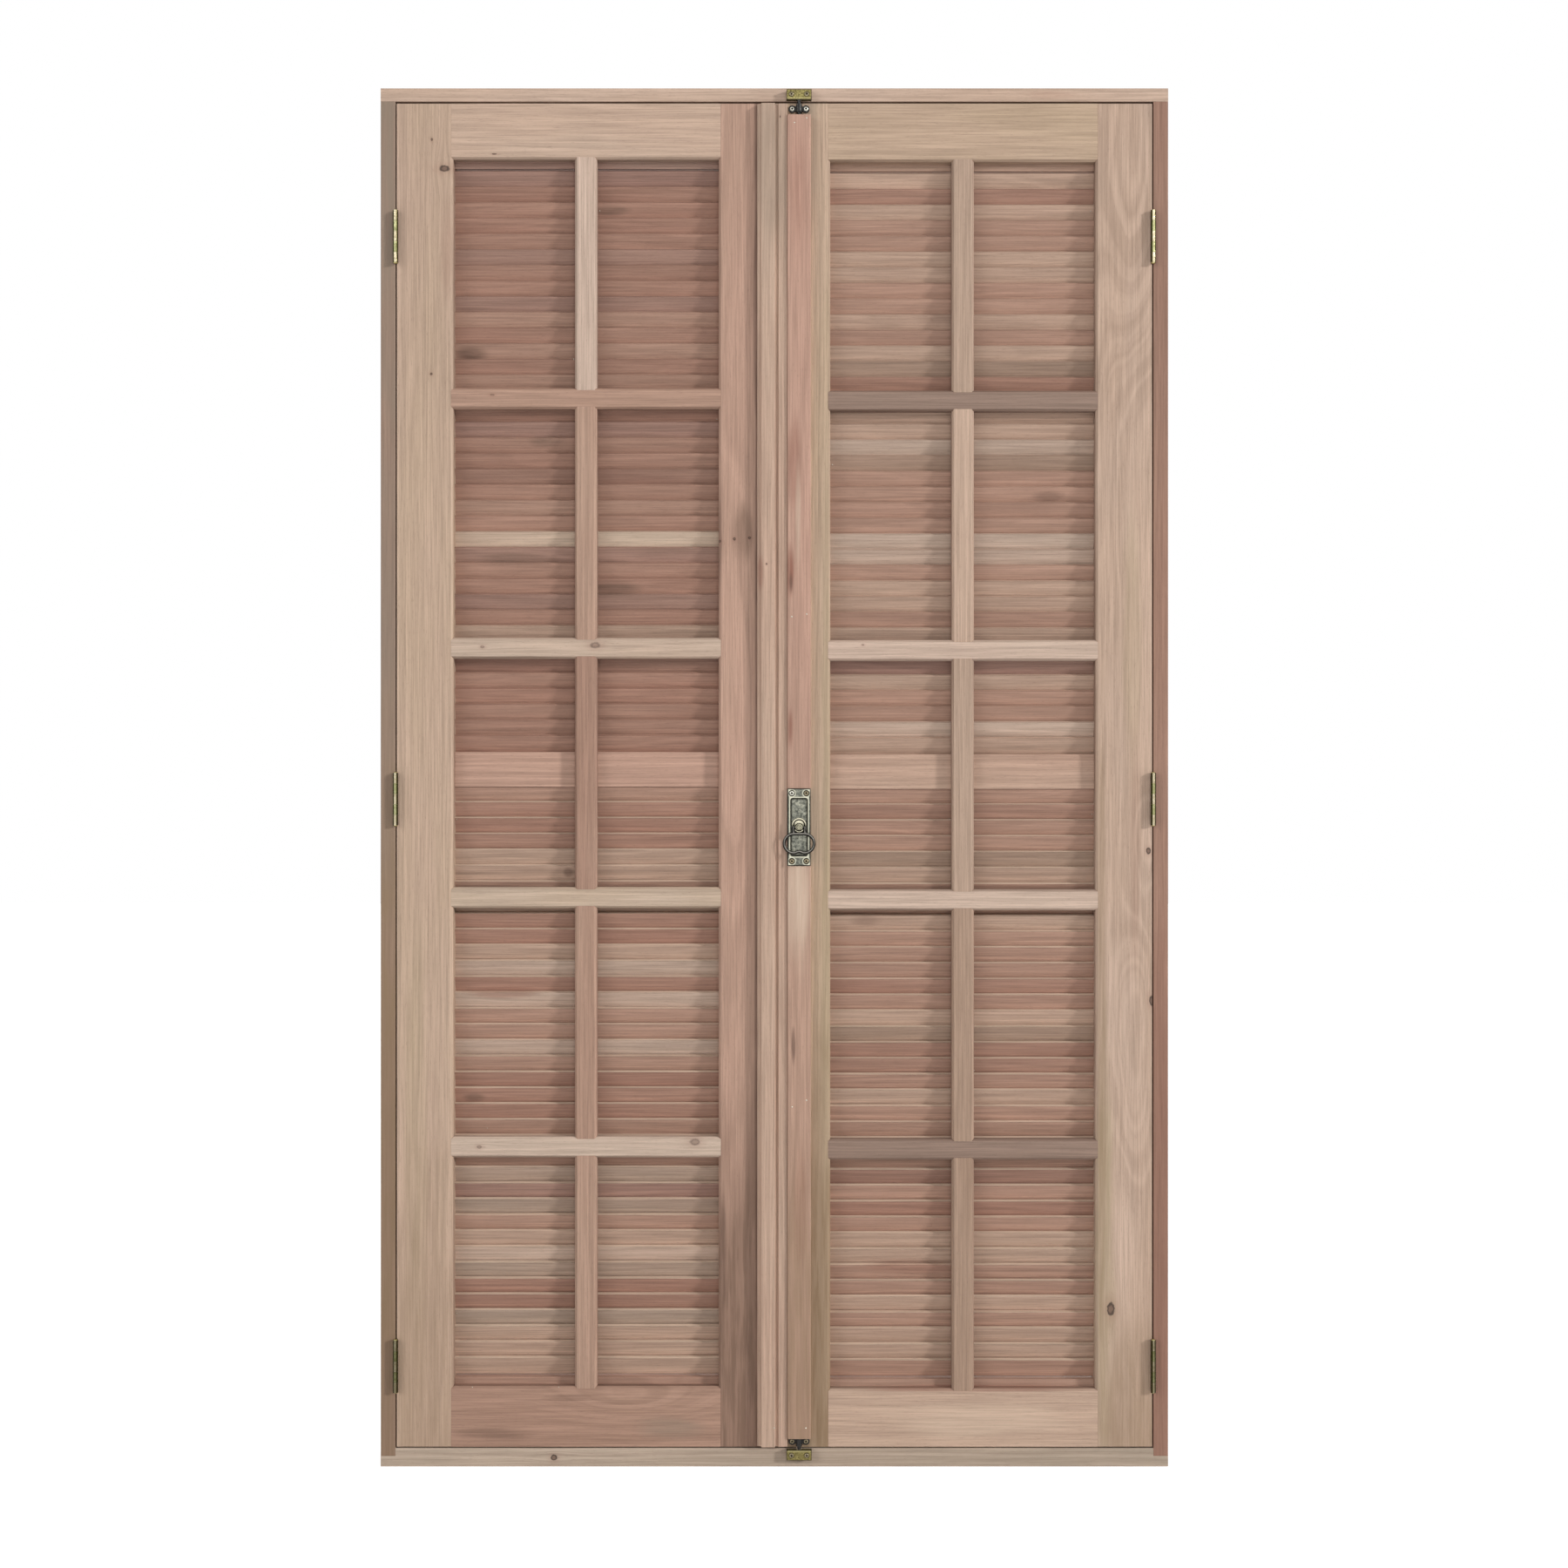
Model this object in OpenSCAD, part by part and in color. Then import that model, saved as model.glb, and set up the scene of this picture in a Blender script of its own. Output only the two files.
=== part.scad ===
// Pair of louvred doors hung in their frame, shut by a surface-mounted cremone bolt.
// Millimetres, +Z up, -Y towards the room. The origin is the middle of the sill's underside.

/* [Frame] */
// Width over both jambs
frame_w = 1200; // [1000:10:1500]
// Height from the sill's underside to the head's top
frame_h = 2100; // [1900:10:2400]
// Depth through the wall
frame_depth = 110; // [80:5:160]
// Jamb face beside a leaf
jamb_face = 22.5; // [18:0.5:35]
// Head face above the leaves
head_face = 20; // [19:0.5:35]
// Sill face below the leaves
sill_face = 28; // [24:0.5:45]
// Stop that a closed leaf shuts against
stop_w = 12; // [8:0.5:20]
// Height of the sill's own stop
sill_stop_h = 10; // [6:0.5:16]
// Housing of the jambs in the sill
sill_housing = 12; // [6:0.5:16]

/* [Leaves] */
// Thickness of a leaf
leaf_t = 35; // [34:0.5:45]
// Gap between a leaf and its jamb
side_gap = 2; // [1.6:0.1:3]
// Gap between a leaf and the head
top_gap = 3; // [2:0.1:5]
// Gap between a leaf and the sill
bottom_gap = 2; // [1.5:0.1:5]
// Gap between the two leaves
meet_gap = 4; // [3.4:0.1:6]
// Gap between a closed leaf and its stop
stop_gap = 1; // [0.6:0.1:3]
// Width of a hinge stile
hinge_stile_w = 86; // [70:1:110]
// Width of a meeting stile
meeting_stile_w = 83; // [75:1:110]
// Height of the top rail
top_rail_h = 85; // [70:1:120]
// Height of the bottom rail
bottom_rail_h = 92; // [70:1:160]
// Height of the middle rail between the two sets of slats
middle_rail_h = 45; // [35:1:80]
// Middle of the middle rail above the middle of the leaf
middle_rail_rise = 9; // [0:0.5:40]
// How much lower the right leaf's rails and bars sit than the left's
right_drop = 3.5; // [0:0.5:8]
// Chamfer along the inner edges of stiles, rails and bars
edge_chamfer = 3.5; // [2:0.5:5]
// Lips of the middle rail over the edges of the slats beside it
middle_lip = 4; // [2:0.5:6]
// Clearance between the middle rail and the backs of the uprights
lip_gap = 0.2; // [0.1:0.1:0.5]
// Lip of the rails behind the bars
rail_lip = 10; // [6:0.5:16]
// Length of the rails' tenons
tenon_l = 45; // [25:1:60]
// Thickness of the rails' tenons
tenon_t = 12; // [8:0.5:14]
// Shoulder above and below a tenon
tenon_shoulder = 8; // [5:0.5:12]

/* [Glazing bars] */
// Height of a cross bar
bar_w = 32; // [26:1:45]
// Width of an upright
upright_w = 34; // [26:1:50]
// Thickness of the bars and uprights
bar_t = 13; // [11:0.5:14]
// Length of a cross bar's stub tenon
stub_l = 8; // [4:0.5:12]
// Thickness of a stub tenon
stub_t = 5; // [4:0.5:6]

/* [Slats] */
// Width of a slat
slat_w = 30; // [28:0.5:34]
// Thickness of a slat
slat_t = 7; // [5:0.5:8]
// Slope of a slat above the level
slat_angle = 68; // [64:1:74]
// Nominal distance from slat to slat
slat_pitch = 24; // [20:0.5:26]
// Depth of the slats' front edges behind the leaf's face
slat_set = 15; // [14:0.5:17]
// Depth of a slat's housing in the stile
slat_housing = 8; // [5:0.5:12]
// Clearance round a slat in its housing
slat_fit = 0.1; // [0.05:0.05:0.3]
// Chamfer along a slat's edges
slat_chamfer = 0.8; // [0.4:0.1:1.5]
// Room between the end slats and the rails
slat_margin = 1; // [0.5:0.5:4]

/* [Hinges] */
// Height of a hinge
hinge_h = 80; // [60:1:110]
// Diameter of the barrel
barrel_d = 8; // [7:0.5:11]
// Clearance between the barrel and the leaf's face
barrel_gap = 0.3; // [0.3:0.1:1]
// Number of knuckles
knuckles = 5; // [3:2:7]
// End clearance between knuckles
knuckle_gap = 0.3; // [0.2:0.1:0.6]
// Thickness of a hinge plate
plate_t = 1.5; // [1.2:0.1:2.5]
// Width of a hinge plate from the face
plate_w = 28; // [20:1:32]
// Diameter of the pin
pin_d = 4; // [3:0.5:5]
// Clearance round a pin
pin_fit = 0.05; // [0.03:0.01:0.1]
// Height of a pin's domed tip
pin_tip_h = 1.8; // [1:0.1:2.5]
// Step from the barrel in to a pin's tip
pin_tip_step = 0.8; // [0.4:0.1:1.2]
// Middle of the lower hinges above the leaf's bottom
lower_hinge_in = 124; // [90:1:270]
// Middle of the middle hinges below the middle of the leaf
middle_hinge_drop = 36.5; // [0:0.5:80]
// Middle of the upper hinges below the leaf's top
upper_hinge_in = 204; // [120:1:350]

/* [Astragal and rod covers] */
// Reach of the astragal over the left leaf, from the middle
astragal_lap = 26; // [20:0.5:34]
// Reach of the astragal over the right leaf, from the middle
astragal_seat = 19.5; // [12:0.5:19.5]
// Height of the astragal's broad flat
astragal_t = 12; // [10:0.5:14]
// Height of its lower flat beside the rod covers
astragal_low_t = 9; // [8:0.5:9.5]
// Distance of the astragal's ends from the leaf's ends
astragal_short = 3; // [0:0.5:6]
// Clearance between the astragal and the left leaf
astragal_gap = 0.5; // [0.3:0.1:1]
// Radius of the cove along the astragal's free edge
cove_r = 6; // [4:0.5:8]
// Fillet that stands above the cove
cove_step = 1; // [0.5:0.1:2]
// Width of the lower flat
low_flat_w = 13.5; // [9:0.5:14]
// Width of the quirk beside the broad flat
quirk_w = 5; // [2:0.5:6]
// Depth of the quirk below the lower flat
quirk_d = 2; // [1:0.5:3]
// Width of the strips that cover the rods
cover_w = 35.5; // [30:0.5:38]
// Height of the strips
cover_t = 12; // [11:0.5:14]
// Chamfer along the strips' front edges
cover_chamfer = 1; // [0.5:0.1:2]
// Distance of the upper strip's end from the guide above it
cover_gap = 5; // [0:0.5:8]

/* [Cremone bolt] */
// Middle of the bolt to the right of the leaves' meeting line
bolt_x = 37.5; // [36.5:0.5:42]
// Middle of the bolt above the floor
bolt_z = 974.5; // [900:0.5:1100]
// Width of the case
case_w = 35; // [33:0.5:38]
// Height of the case
case_h = 117; // [110:1:150]
// Thickness of the case behind its panel
case_t = 12; // [11.5:0.5:14]
// Height of the raised rim round the panel
rim_h = 1.5; // [1:0.1:2]
// Width of the sunk panel
panel_w = 27; // [25:0.5:28]
// Plain end of the case above and below the panel
panel_end = 14; // [13:0.5:18]
// Corner radius of the panel
panel_r = 4; // [2:0.5:6]
// Diameter of the rods
rod_d = 5; // [4:0.5:5.5]
// Distance of the rods' middle in front of the leaf
rod_out = 5; // [5:0.1:5.5]
// Clearance round a rod in its guides
rod_fit = 0.1; // [0.05:0.05:0.2]
// Clearance round the rods and racks inside covers and case
run_gap = 0.3; // [0.25:0.05:0.4]
// Distance of a drawn rod's tip from its keep
tip_gap = 0.5; // [0.4:0.1:1.5]
// Turn of the knob that shoots the rods
knob_turn = 90; // [60:5:90]
// Gear module of pinion and racks
gear_module = 1.25; // [1.1:0.05:1.25]
// Teeth of the pinion
gear_teeth = 12; // [12:2:14]
// Play between the teeth
backlash = 0.2; // [0.15:0.05:0.3]
// Thickness of pinion and racks
gear_t = 5.4; // [5:0.1:5.4]
// Width of a rack's back behind its teeth
rack_back_w = 3; // [2.5:0.1:3.4]
// Thickness of the elbow that joins a rack to its rod
elbow_h = 4; // [3:0.5:5]
// Diameter of the spindle
spindle_d = 8; // [7:0.5:9]
// Clearance round the spindle
spindle_fit = 0.05; // [0.03:0.01:0.1]
// Side of the square that drives the pinion
drive_w = 4.6; // [4:0.1:5]

/* [Knob and ring] */
// Diameter of the knob's base
knob_d = 21.4; // [21.4:0.2:24]
// Thickness of the base
knob_base_t = 2.7; // [2:0.1:3]
// Diameter of the hood that roofs the ring's pivots
hood_d = 22.4; // [21:0.1:23]
// Rise of the hood's middle above the knob's
hood_rise = 3; // [1:0.1:3.2]
// Height of the hood's rim over the base
hood_h = 3.5; // [2:0.1:4]
// Width of the hood's rim
hood_w = 2.2; // [1.5:0.1:3]
// Height of the hood's crescent inside its rim
crescent_h = 1.6; // [1:0.1:1.9]
// Diameter of the middle boss that carries the ring
boss_d = 10.8; // [9.5:0.1:11]
// Height of the boss over the base
boss_h = 6.4; // [6:0.1:8]
// Height of the boss's dome
dome_h = 1.2; // [0.6:0.1:2]
// Diameter of the ring's bar
ring_d = 4.7; // [4:0.1:4.8]
// Overall width of the ring
ring_w = 50; // [46:0.5:60]
// Overall height of the ring's oval
ring_h = 33.7; // [30:0.1:40]
// Rise of the bar in the middle of the ring's foot
foot_rise = 2.9; // [1.5:0.1:4]
// Distance from the pivot down to the ring's upper bar
ring_drop = 10.1; // [9:0.1:13]
// Distance between the ring's two legs
leg_span = 17; // [16.4:0.1:18]
// Diameter of a leg
leg_d = 4.2; // [3.4:0.1:4.4]
// Diameter of the eye at the end of a leg
eye_d = 4.5; // [4.5:0.1:4.8]
// Diameter of the ring's pivots
pivot_d = 3; // [2.4:0.1:3.2]
// Clearance round a pivot
pivot_fit = 0.05; // [0.03:0.01:0.1]
// Distance of the pivots in front of the base
pivot_out = 3.5; // [3.2:0.1:4]

/* [Guides, keeps and screws] */
// Height of a rod guide
guide_h = 12; // [10:0.5:16]
// Distance of a guide from the leaf's end
guide_inset = 3.4; // [2:0.1:8]
// Height of the web between a guide's ears
ear_web = 7.7; // [7:0.1:9]
// Radius of a guide's ears
ear_r = 5.5; // [5:0.1:6]
// Thickness of a guide's ears
ear_t = 3; // [2:0.1:3.4]
// Distance between the screws of a guide
guide_screws = 21; // [20:0.5:23]
// Wall of a guide round its rod
guide_wall = 1.9; // [1.2:0.1:2.2]
// Width of a keep
keep_w = 38; // [34:0.5:44]
// Height of a keep
keep_h = 15; // [13:0.5:15]
// Distance of a keep from the edge beside the leaf
keep_inset = 0.5; // [0.3:0.1:3.5]
// Chamfer along a keep's edge beside the leaf
keep_chamfer = 1.2; // [0.4:0.1:1.2]
// Front wall of a keep
keep_wall = 1.5; // [1.2:0.1:2.5]
// Room beside a rod in its keep
keep_play = 1; // [0.6:0.1:1.5]
// Distance between the screws of a keep
keep_screws_w = 23; // [20:0.5:26]
// Distance between the case's screws across
case_screws_w = 22; // [20:0.5:24]
// Distance of the case's screws from its ends
case_screw_inset = 7; // [6:0.5:8]
// Diameter of a screw's head
head_d = 7; // [6:0.1:8]
// Height of a screw's head
head_h = 1.4; // [1:0.1:2]
// Diameter of a screw's shank
shank_d = 3.5; // [2.8:0.1:4]
// Clearance round a shank
shank_fit = 0.05; // [0.03:0.01:0.1]
// Length of a screw in the wood
screw_bite = 10; // [6:1:11]

/* [Hidden] */
$fn = 48;
over = 1;
bar_rows = 4;
face_y = -frame_depth / 2;
back_y = frame_depth / 2;
open_half = frame_w / 2 - jamb_face;
rebate_d = leaf_t + stop_gap;
head_z = frame_h - head_face;
leaf_out = open_half - side_gap;
leaf_in = meet_gap / 2;
leaf_bottom = sill_face + bottom_gap;
leaf_top = head_z - top_gap;
field_out = leaf_out - hinge_stile_w;
field_in = leaf_in + meeting_stile_w;
field_w = field_out - field_in;
upright_x = -(field_out + field_in) / 2;
leaf_back = face_y + leaf_t;
slat_y = face_y + slat_set + (slat_w * cos(slat_angle) + slat_t * sin(slat_angle)) / 2;
slat_rise = slat_w * sin(slat_angle) + slat_t * cos(slat_angle);
cell_h = (leaf_top - top_rail_h - leaf_bottom - bottom_rail_h - bar_rows * bar_w) / (bar_rows + 1);
leaf_mid = (leaf_bottom + leaf_top) / 2;
middle_rail_z = leaf_mid + middle_rail_rise - middle_rail_h / 2;
lower_hinge_z = leaf_bottom + lower_hinge_in;
middle_hinge_z = leaf_mid - middle_hinge_drop;
upper_hinge_z = leaf_top - upper_hinge_in;
hinge_zs = [lower_hinge_z, middle_hinge_z, upper_hinge_z];
barrel_y = face_y - barrel_d / 2 - barrel_gap;
barrel_x = open_half - side_gap / 2;
knuckle_h = hinge_h / knuckles;
pressure_angle = 25;
gear_r = gear_module * gear_teeth / 2;
gear_base_r = gear_r * cos(pressure_angle);
pinion_addendum = 0.96;
rack_addendum = 0.9;
dedendum = 1.25;
gear_tip_r = gear_r + pinion_addendum * gear_module;
gear_root_r = gear_r - dedendum * gear_module;
tooth_pitch = PI * gear_module;
rack_tip = rack_addendum * gear_module;
rack_root = dedendum * gear_module;
rack_teeth = 10;
rack_half = rack_teeth * tooth_pitch / 2;
rack_back = gear_r + rack_root + rack_back_w;
throw = gear_r * knob_turn * PI / 180;
cavity_w = 2 * (rack_back + run_gap);
cavity_h = 2 * (rack_half + throw + 2 * run_gap);
cavity_d = rod_out + gear_t / 2 + run_gap;
liner_t = rod_out - gear_t / 2 - run_gap;
channel_w = rod_d + 4 * run_gap;
case_front = case_t + rim_h;
panel_h = case_h - 2 * panel_end;
case_screws_h = case_h - 2 * case_screw_inset;
base_out = case_t + run_gap;
boss_out = base_out + knob_base_t;
ring_out = boss_out + pivot_out;
top_keep_z = head_z + keep_inset;
bottom_keep_z = sill_face - keep_inset - keep_h;
upper_guide_z = leaf_top - guide_inset - guide_h;
lower_guide_z = leaf_bottom + guide_inset;
upper_tip_z = top_keep_z - tip_gap;
lower_tip_z = bottom_keep_z + keep_h + tip_gap;
keep_t = cavity_d + keep_wall;
ring_side_r = (ring_h - ring_d) / 2;
ring_side_x = ring_w / 2 - ring_d / 2 - ring_side_r;
ring_mid_z = -ring_drop - ring_side_r;
foot_r = (ring_side_x * ring_side_x + foot_rise * foot_rise) / (2 * foot_rise);
foot_overrun = 2;
foot_turn = asin(ring_side_x / foot_r) + foot_overrun;
case_screw_at = [for (sx = [-1, 1], sz = [-1, 1])
    [bolt_x + sx * case_screws_w / 2, bolt_z + sz * case_screws_h / 2]];
guide_screw_at = [for (sx = [-1, 1], z = [upper_guide_z, lower_guide_z])
    [bolt_x + sx * guide_screws / 2, z + guide_h / 2]];
top_keep_screw_at = [for (sx = [-1, 1]) [bolt_x + sx * keep_screws_w / 2, top_keep_z + keep_h / 2]];
bottom_keep_screw_at = [for (sx = [-1, 1]) [bolt_x + sx * keep_screws_w / 2, bottom_keep_z + keep_h / 2]];
light_wood = [0.76, 0.63, 0.54];
mid_wood = [0.68, 0.54, 0.46];
slat_wood = [0.60, 0.46, 0.39];
old_brass = [0.55, 0.50, 0.36];
dark_iron = [0.16, 0.16, 0.17];
bright_steel = [0.72, 0.72, 0.72];

// Helpers that place outlines

// The left leaf is drawn, and the right one is its mirror image
module on_side(side) {
    if (side < 0) children();
    else mirror([1, 0, 0]) children();
}

// Extrudes an outline drawn in (y, z) along +X
module along_x(x0, length) {
    translate([x0, 0, 0]) rotate([90, 0, 90]) linear_extrude(length) children();
}

// Extrudes an outline drawn in (x, z) towards the room, measured from the leaf's face
module outward(from, to) {
    translate([0, face_y - from, 0]) rotate([90, 0, 0]) linear_extrude(to - from) children();
}

module block(low, high) {
    translate(low) cube(high - low);
}

module rounded_rect(w, h, r) {
    square([w, h - 2 * r], center = true);
    square([w - 2 * r, h], center = true);
    for (sx = [-1, 1], sz = [-1, 1])
        translate([sx * (w / 2 - r), sz * (h / 2 - r)]) circle(r);
}

module screw(at, seat) {
    translate([at[0], face_y - seat, at[1]]) rotate([90, 0, 0]) {
        cylinder(d = head_d, h = head_h);
        translate([0, 0, -seat - screw_bite]) cylinder(d = shank_d, h = seat + screw_bite);
    }
}

module screw_bores(places, seat) {
    for (at = places)
        translate([at[0], face_y - seat, at[1]]) rotate([90, 0, 0])
            translate([0, 0, -seat - screw_bite])
                cylinder(d = shank_d + 2 * shank_fit, h = seat + screw_bite + over);
}

// Frame

module jamb_stock(z0, z1) {
    translate([0, 0, z0]) linear_extrude(z1 - z0) polygon([
        [-frame_w / 2, face_y], [-open_half, face_y], [-open_half, face_y + rebate_d],
        [-open_half + stop_w, face_y + rebate_d], [-open_half + stop_w, back_y], [-frame_w / 2, back_y]]);
}

module jamb(side) {
    color(mid_wood) on_side(side) difference() {
        jamb_stock(sill_face - sill_housing, head_z);
        for (z = hinge_zs) hinge_pocket(z, -open_half - plate_t);
    }
}

module left_jamb() { jamb(-1); }
module right_jamb() { jamb(1); }

module head() {
    color(light_wood) difference() {
        union() {
            block([-frame_w / 2, face_y, head_z], [frame_w / 2, back_y, frame_h]);
            block([-open_half + stop_w, face_y + rebate_d, head_z - stop_w],
                [open_half - stop_w, back_y, head_z + over]);
        }
        screw_bores(top_keep_screw_at, keep_t);
    }
}

module sill() {
    color(light_wood) difference() {
        union() {
            block([-frame_w / 2, face_y, 0], [frame_w / 2, back_y, sill_face]);
            block([-open_half + stop_w, face_y + rebate_d, sill_face - over],
                [open_half - stop_w, back_y, sill_face + sill_stop_h]);
        }
        for (side = [-1, 1]) on_side(side) jamb_stock(sill_face - sill_housing, sill_face + over);
        screw_bores(bottom_keep_screw_at, keep_t);
    }
}

// Hinges

module hinge_pocket(z, x0) {
    block([x0, face_y - over, z - hinge_h / 2], [x0 + plate_t, face_y + plate_w, z + hinge_h / 2]);
}

// One half of a butt hinge: its plate starts at x0 and its knuckles are every second one from "first"
module hinge_half(z, x0, first) {
    difference() {
        union() {
            block([x0, face_y, z - hinge_h / 2], [x0 + plate_t, face_y + plate_w, z + hinge_h / 2]);
            for (i = [first : 2 : knuckles - 1]) {
                z0 = z - hinge_h / 2 + i * knuckle_h + knuckle_gap / 2;
                z1 = z0 + knuckle_h - knuckle_gap;
                translate([-barrel_x, barrel_y, z0]) cylinder(d = barrel_d, h = z1 - z0);
                block([x0, barrel_y, z0], [x0 + plate_t, face_y + over, z1]);
            }
        }
        translate([-barrel_x, barrel_y, z - hinge_h])
            cylinder(d = pin_d + 2 * pin_fit, h = 2 * hinge_h);
    }
}

module frame_hinge(side, z) {
    color(old_brass) on_side(side) hinge_half(z, -open_half - plate_t, 0);
}

module leaf_hinge(side, z) {
    color(old_brass) on_side(side) hinge_half(z, -leaf_out, 1);
}

module hinge_pins(side) {
    tip_z = hinge_h / 2 - knuckle_gap / 2;
    color(old_brass) on_side(side) for (z = hinge_zs) translate([-barrel_x, barrel_y, z]) {
        translate([0, 0, -tip_z - over / 2]) cylinder(d = pin_d, h = 2 * tip_z + over);
        for (end = [0, 1]) mirror([0, 0, end]) translate([0, 0, tip_z]) pin_tip();
    }
}

module pin_tip() {
    tip_r = barrel_d / 2 - pin_tip_step;
    dome_r = (tip_r * tip_r + pin_tip_h * pin_tip_h) / (2 * pin_tip_h);
    intersection() {
        translate([0, 0, pin_tip_h - dome_r]) sphere(dome_r);
        cylinder(r = tip_r, h = pin_tip_h + over);
    }
}

module left_lower_frame_hinge() { frame_hinge(-1, lower_hinge_z); }
module left_middle_frame_hinge() { frame_hinge(-1, middle_hinge_z); }
module left_upper_frame_hinge() { frame_hinge(-1, upper_hinge_z); }
module right_lower_frame_hinge() { frame_hinge(1, lower_hinge_z); }
module right_middle_frame_hinge() { frame_hinge(1, middle_hinge_z); }
module right_upper_frame_hinge() { frame_hinge(1, upper_hinge_z); }
module left_lower_leaf_hinge() { leaf_hinge(-1, lower_hinge_z); }
module left_middle_leaf_hinge() { leaf_hinge(-1, middle_hinge_z); }
module left_upper_leaf_hinge() { leaf_hinge(-1, upper_hinge_z); }
module right_lower_leaf_hinge() { leaf_hinge(1, lower_hinge_z); }
module right_middle_leaf_hinge() { leaf_hinge(1, middle_hinge_z); }
module right_upper_leaf_hinge() { leaf_hinge(1, upper_hinge_z); }
module left_hinge_pins() { hinge_pins(-1); }
module right_hinge_pins() { hinge_pins(1); }

// Joinery of a leaf

function drop(side) = side < 0 ? 0 : right_drop;
function rail_low(side) = leaf_top - top_rail_h - drop(side);
function rail_high(side) = leaf_bottom + bottom_rail_h - drop(side);
function middle_z(side) = middle_rail_z - drop(side);
function bar_z(side, i) = rail_low(side) - cell_h - bar_w - (i - 1) * (cell_h + bar_w);

function slat_zs(low, high) =
    let (room = high - low - 2 * slat_margin - slat_rise, count = floor(room / slat_pitch) + 1)
    [for (i = [0 : count - 1]) low + slat_margin + slat_rise / 2 + i * room / (count - 1)];
function upper_slat_zs(side) = slat_zs(middle_z(side) + middle_rail_h, rail_low(side) - rail_lip);
function lower_slat_zs(side) = slat_zs(rail_high(side) + rail_lip, middle_z(side));

module hinge_stile_stock() {
    translate([0, 0, leaf_bottom]) linear_extrude(leaf_top - leaf_bottom) polygon([
        [-leaf_out, face_y], [-field_out - edge_chamfer, face_y], [-field_out, face_y + edge_chamfer],
        [-field_out, leaf_back], [-leaf_out, leaf_back]]);
}

module meeting_stile_stock() {
    translate([0, 0, leaf_bottom]) linear_extrude(leaf_top - leaf_bottom) polygon([
        [-field_in, face_y + edge_chamfer], [-field_in + edge_chamfer, face_y], [-leaf_in, face_y],
        [-leaf_in, leaf_back], [-field_in, leaf_back]]);
}

module top_rail_stock(side) {
    low = rail_low(side);
    along_x(-field_out - edge_chamfer, field_w + 2 * edge_chamfer) polygon([
        [face_y, low + edge_chamfer], [face_y + edge_chamfer, low], [face_y + slat_set, low],
        [face_y + slat_set, low - rail_lip], [leaf_back, low - rail_lip],
        [leaf_back, leaf_top], [face_y, leaf_top]]);
}

module bottom_rail_stock(side) {
    high = rail_high(side);
    along_x(-field_out - edge_chamfer, field_w + 2 * edge_chamfer) polygon([
        [face_y, high - edge_chamfer], [face_y + edge_chamfer, high], [face_y + slat_set, high],
        [face_y + slat_set, high + rail_lip], [leaf_back, high + rail_lip],
        [leaf_back, leaf_bottom], [face_y, leaf_bottom]]);
}

module bar_stock(side, i) {
    low = bar_z(side, i);
    high = low + bar_w;
    along_x(-field_out - edge_chamfer, field_w + 2 * edge_chamfer) polygon([
        [face_y, low + edge_chamfer], [face_y + edge_chamfer, low], [face_y + bar_t, low],
        [face_y + bar_t, high], [face_y + edge_chamfer, high], [face_y, high - edge_chamfer]]);
}

// A tenon runs through its rail and into the stiles on both sides
module tenon(y_mid, thick, low, high, length) {
    block([-field_out - length, y_mid - thick / 2, low], [-field_in + length, y_mid + thick / 2, high]);
}

module top_tenon(side) {
    tenon(face_y + leaf_t / 2, tenon_t, rail_low(side) + tenon_shoulder, leaf_top - tenon_shoulder, tenon_l);
}

module bottom_tenon(side) {
    tenon(face_y + leaf_t / 2, tenon_t, leaf_bottom + tenon_shoulder, rail_high(side) - tenon_shoulder, tenon_l);
}

module middle_tenon(side) {
    tenon(face_y + (slat_set + leaf_t) / 2, tenon_t, middle_z(side) + tenon_shoulder,
        middle_z(side) + middle_rail_h - tenon_shoulder, tenon_l);
}

module bar_tenon(side, i) {
    tenon(face_y + (edge_chamfer + bar_t) / 2, stub_t, bar_z(side, i) + tenon_shoulder,
        bar_z(side, i) + bar_w - tenon_shoulder, stub_l);
}

module slat_housings(side, x0) {
    for (z = concat(lower_slat_zs(side), upper_slat_zs(side)))
        along_x(x0, slat_housing + over) translate([slat_y, z]) rotate(180 - slat_angle)
            square([slat_w + 2 * slat_fit, slat_t + 2 * slat_fit], center = true);
}

module stile_mortises(side) {
    top_tenon(side);
    bottom_tenon(side);
    middle_tenon(side);
    for (i = [1 : bar_rows]) bar_tenon(side, i);
}

module hinge_stile(side) {
    color(light_wood) on_side(side) difference() {
        hinge_stile_stock();
        stile_mortises(side);
        slat_housings(side, -field_out - slat_housing);
        for (z = hinge_zs) hinge_pocket(z, -leaf_out);
    }
}

module meeting_stile(side) {
    on_side(side) difference() {
        meeting_stile_stock();
        stile_mortises(side);
        slat_housings(side, -field_in - over);
    }
}

// Scribes the front of a rail or bar over the stiles' chamfers
module scribed() {
    difference() {
        children();
        hinge_stile_stock();
        meeting_stile_stock();
    }
}

module top_rail(side) {
    color(light_wood) on_side(side) {
        scribed() top_rail_stock(side);
        top_tenon(side);
    }
}

module bottom_rail(side) {
    color(light_wood) on_side(side) {
        scribed() bottom_rail_stock(side);
        bottom_tenon(side);
    }
}

module middle_rail(side) {
    color(mid_wood) on_side(side) {
        block([-field_out, face_y + bar_t + lip_gap, middle_z(side)],
            [-field_in, leaf_back, middle_z(side) + middle_rail_h]);
        block([-field_out, face_y + bar_t + lip_gap, middle_z(side) - middle_lip],
            [-field_in, face_y + slat_set, middle_z(side) + middle_rail_h + middle_lip]);
        middle_tenon(side);
    }
}

module bar(side, i) {
    color(light_wood) on_side(side) {
        scribed() bar_stock(side, i);
        bar_tenon(side, i);
    }
}

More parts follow.
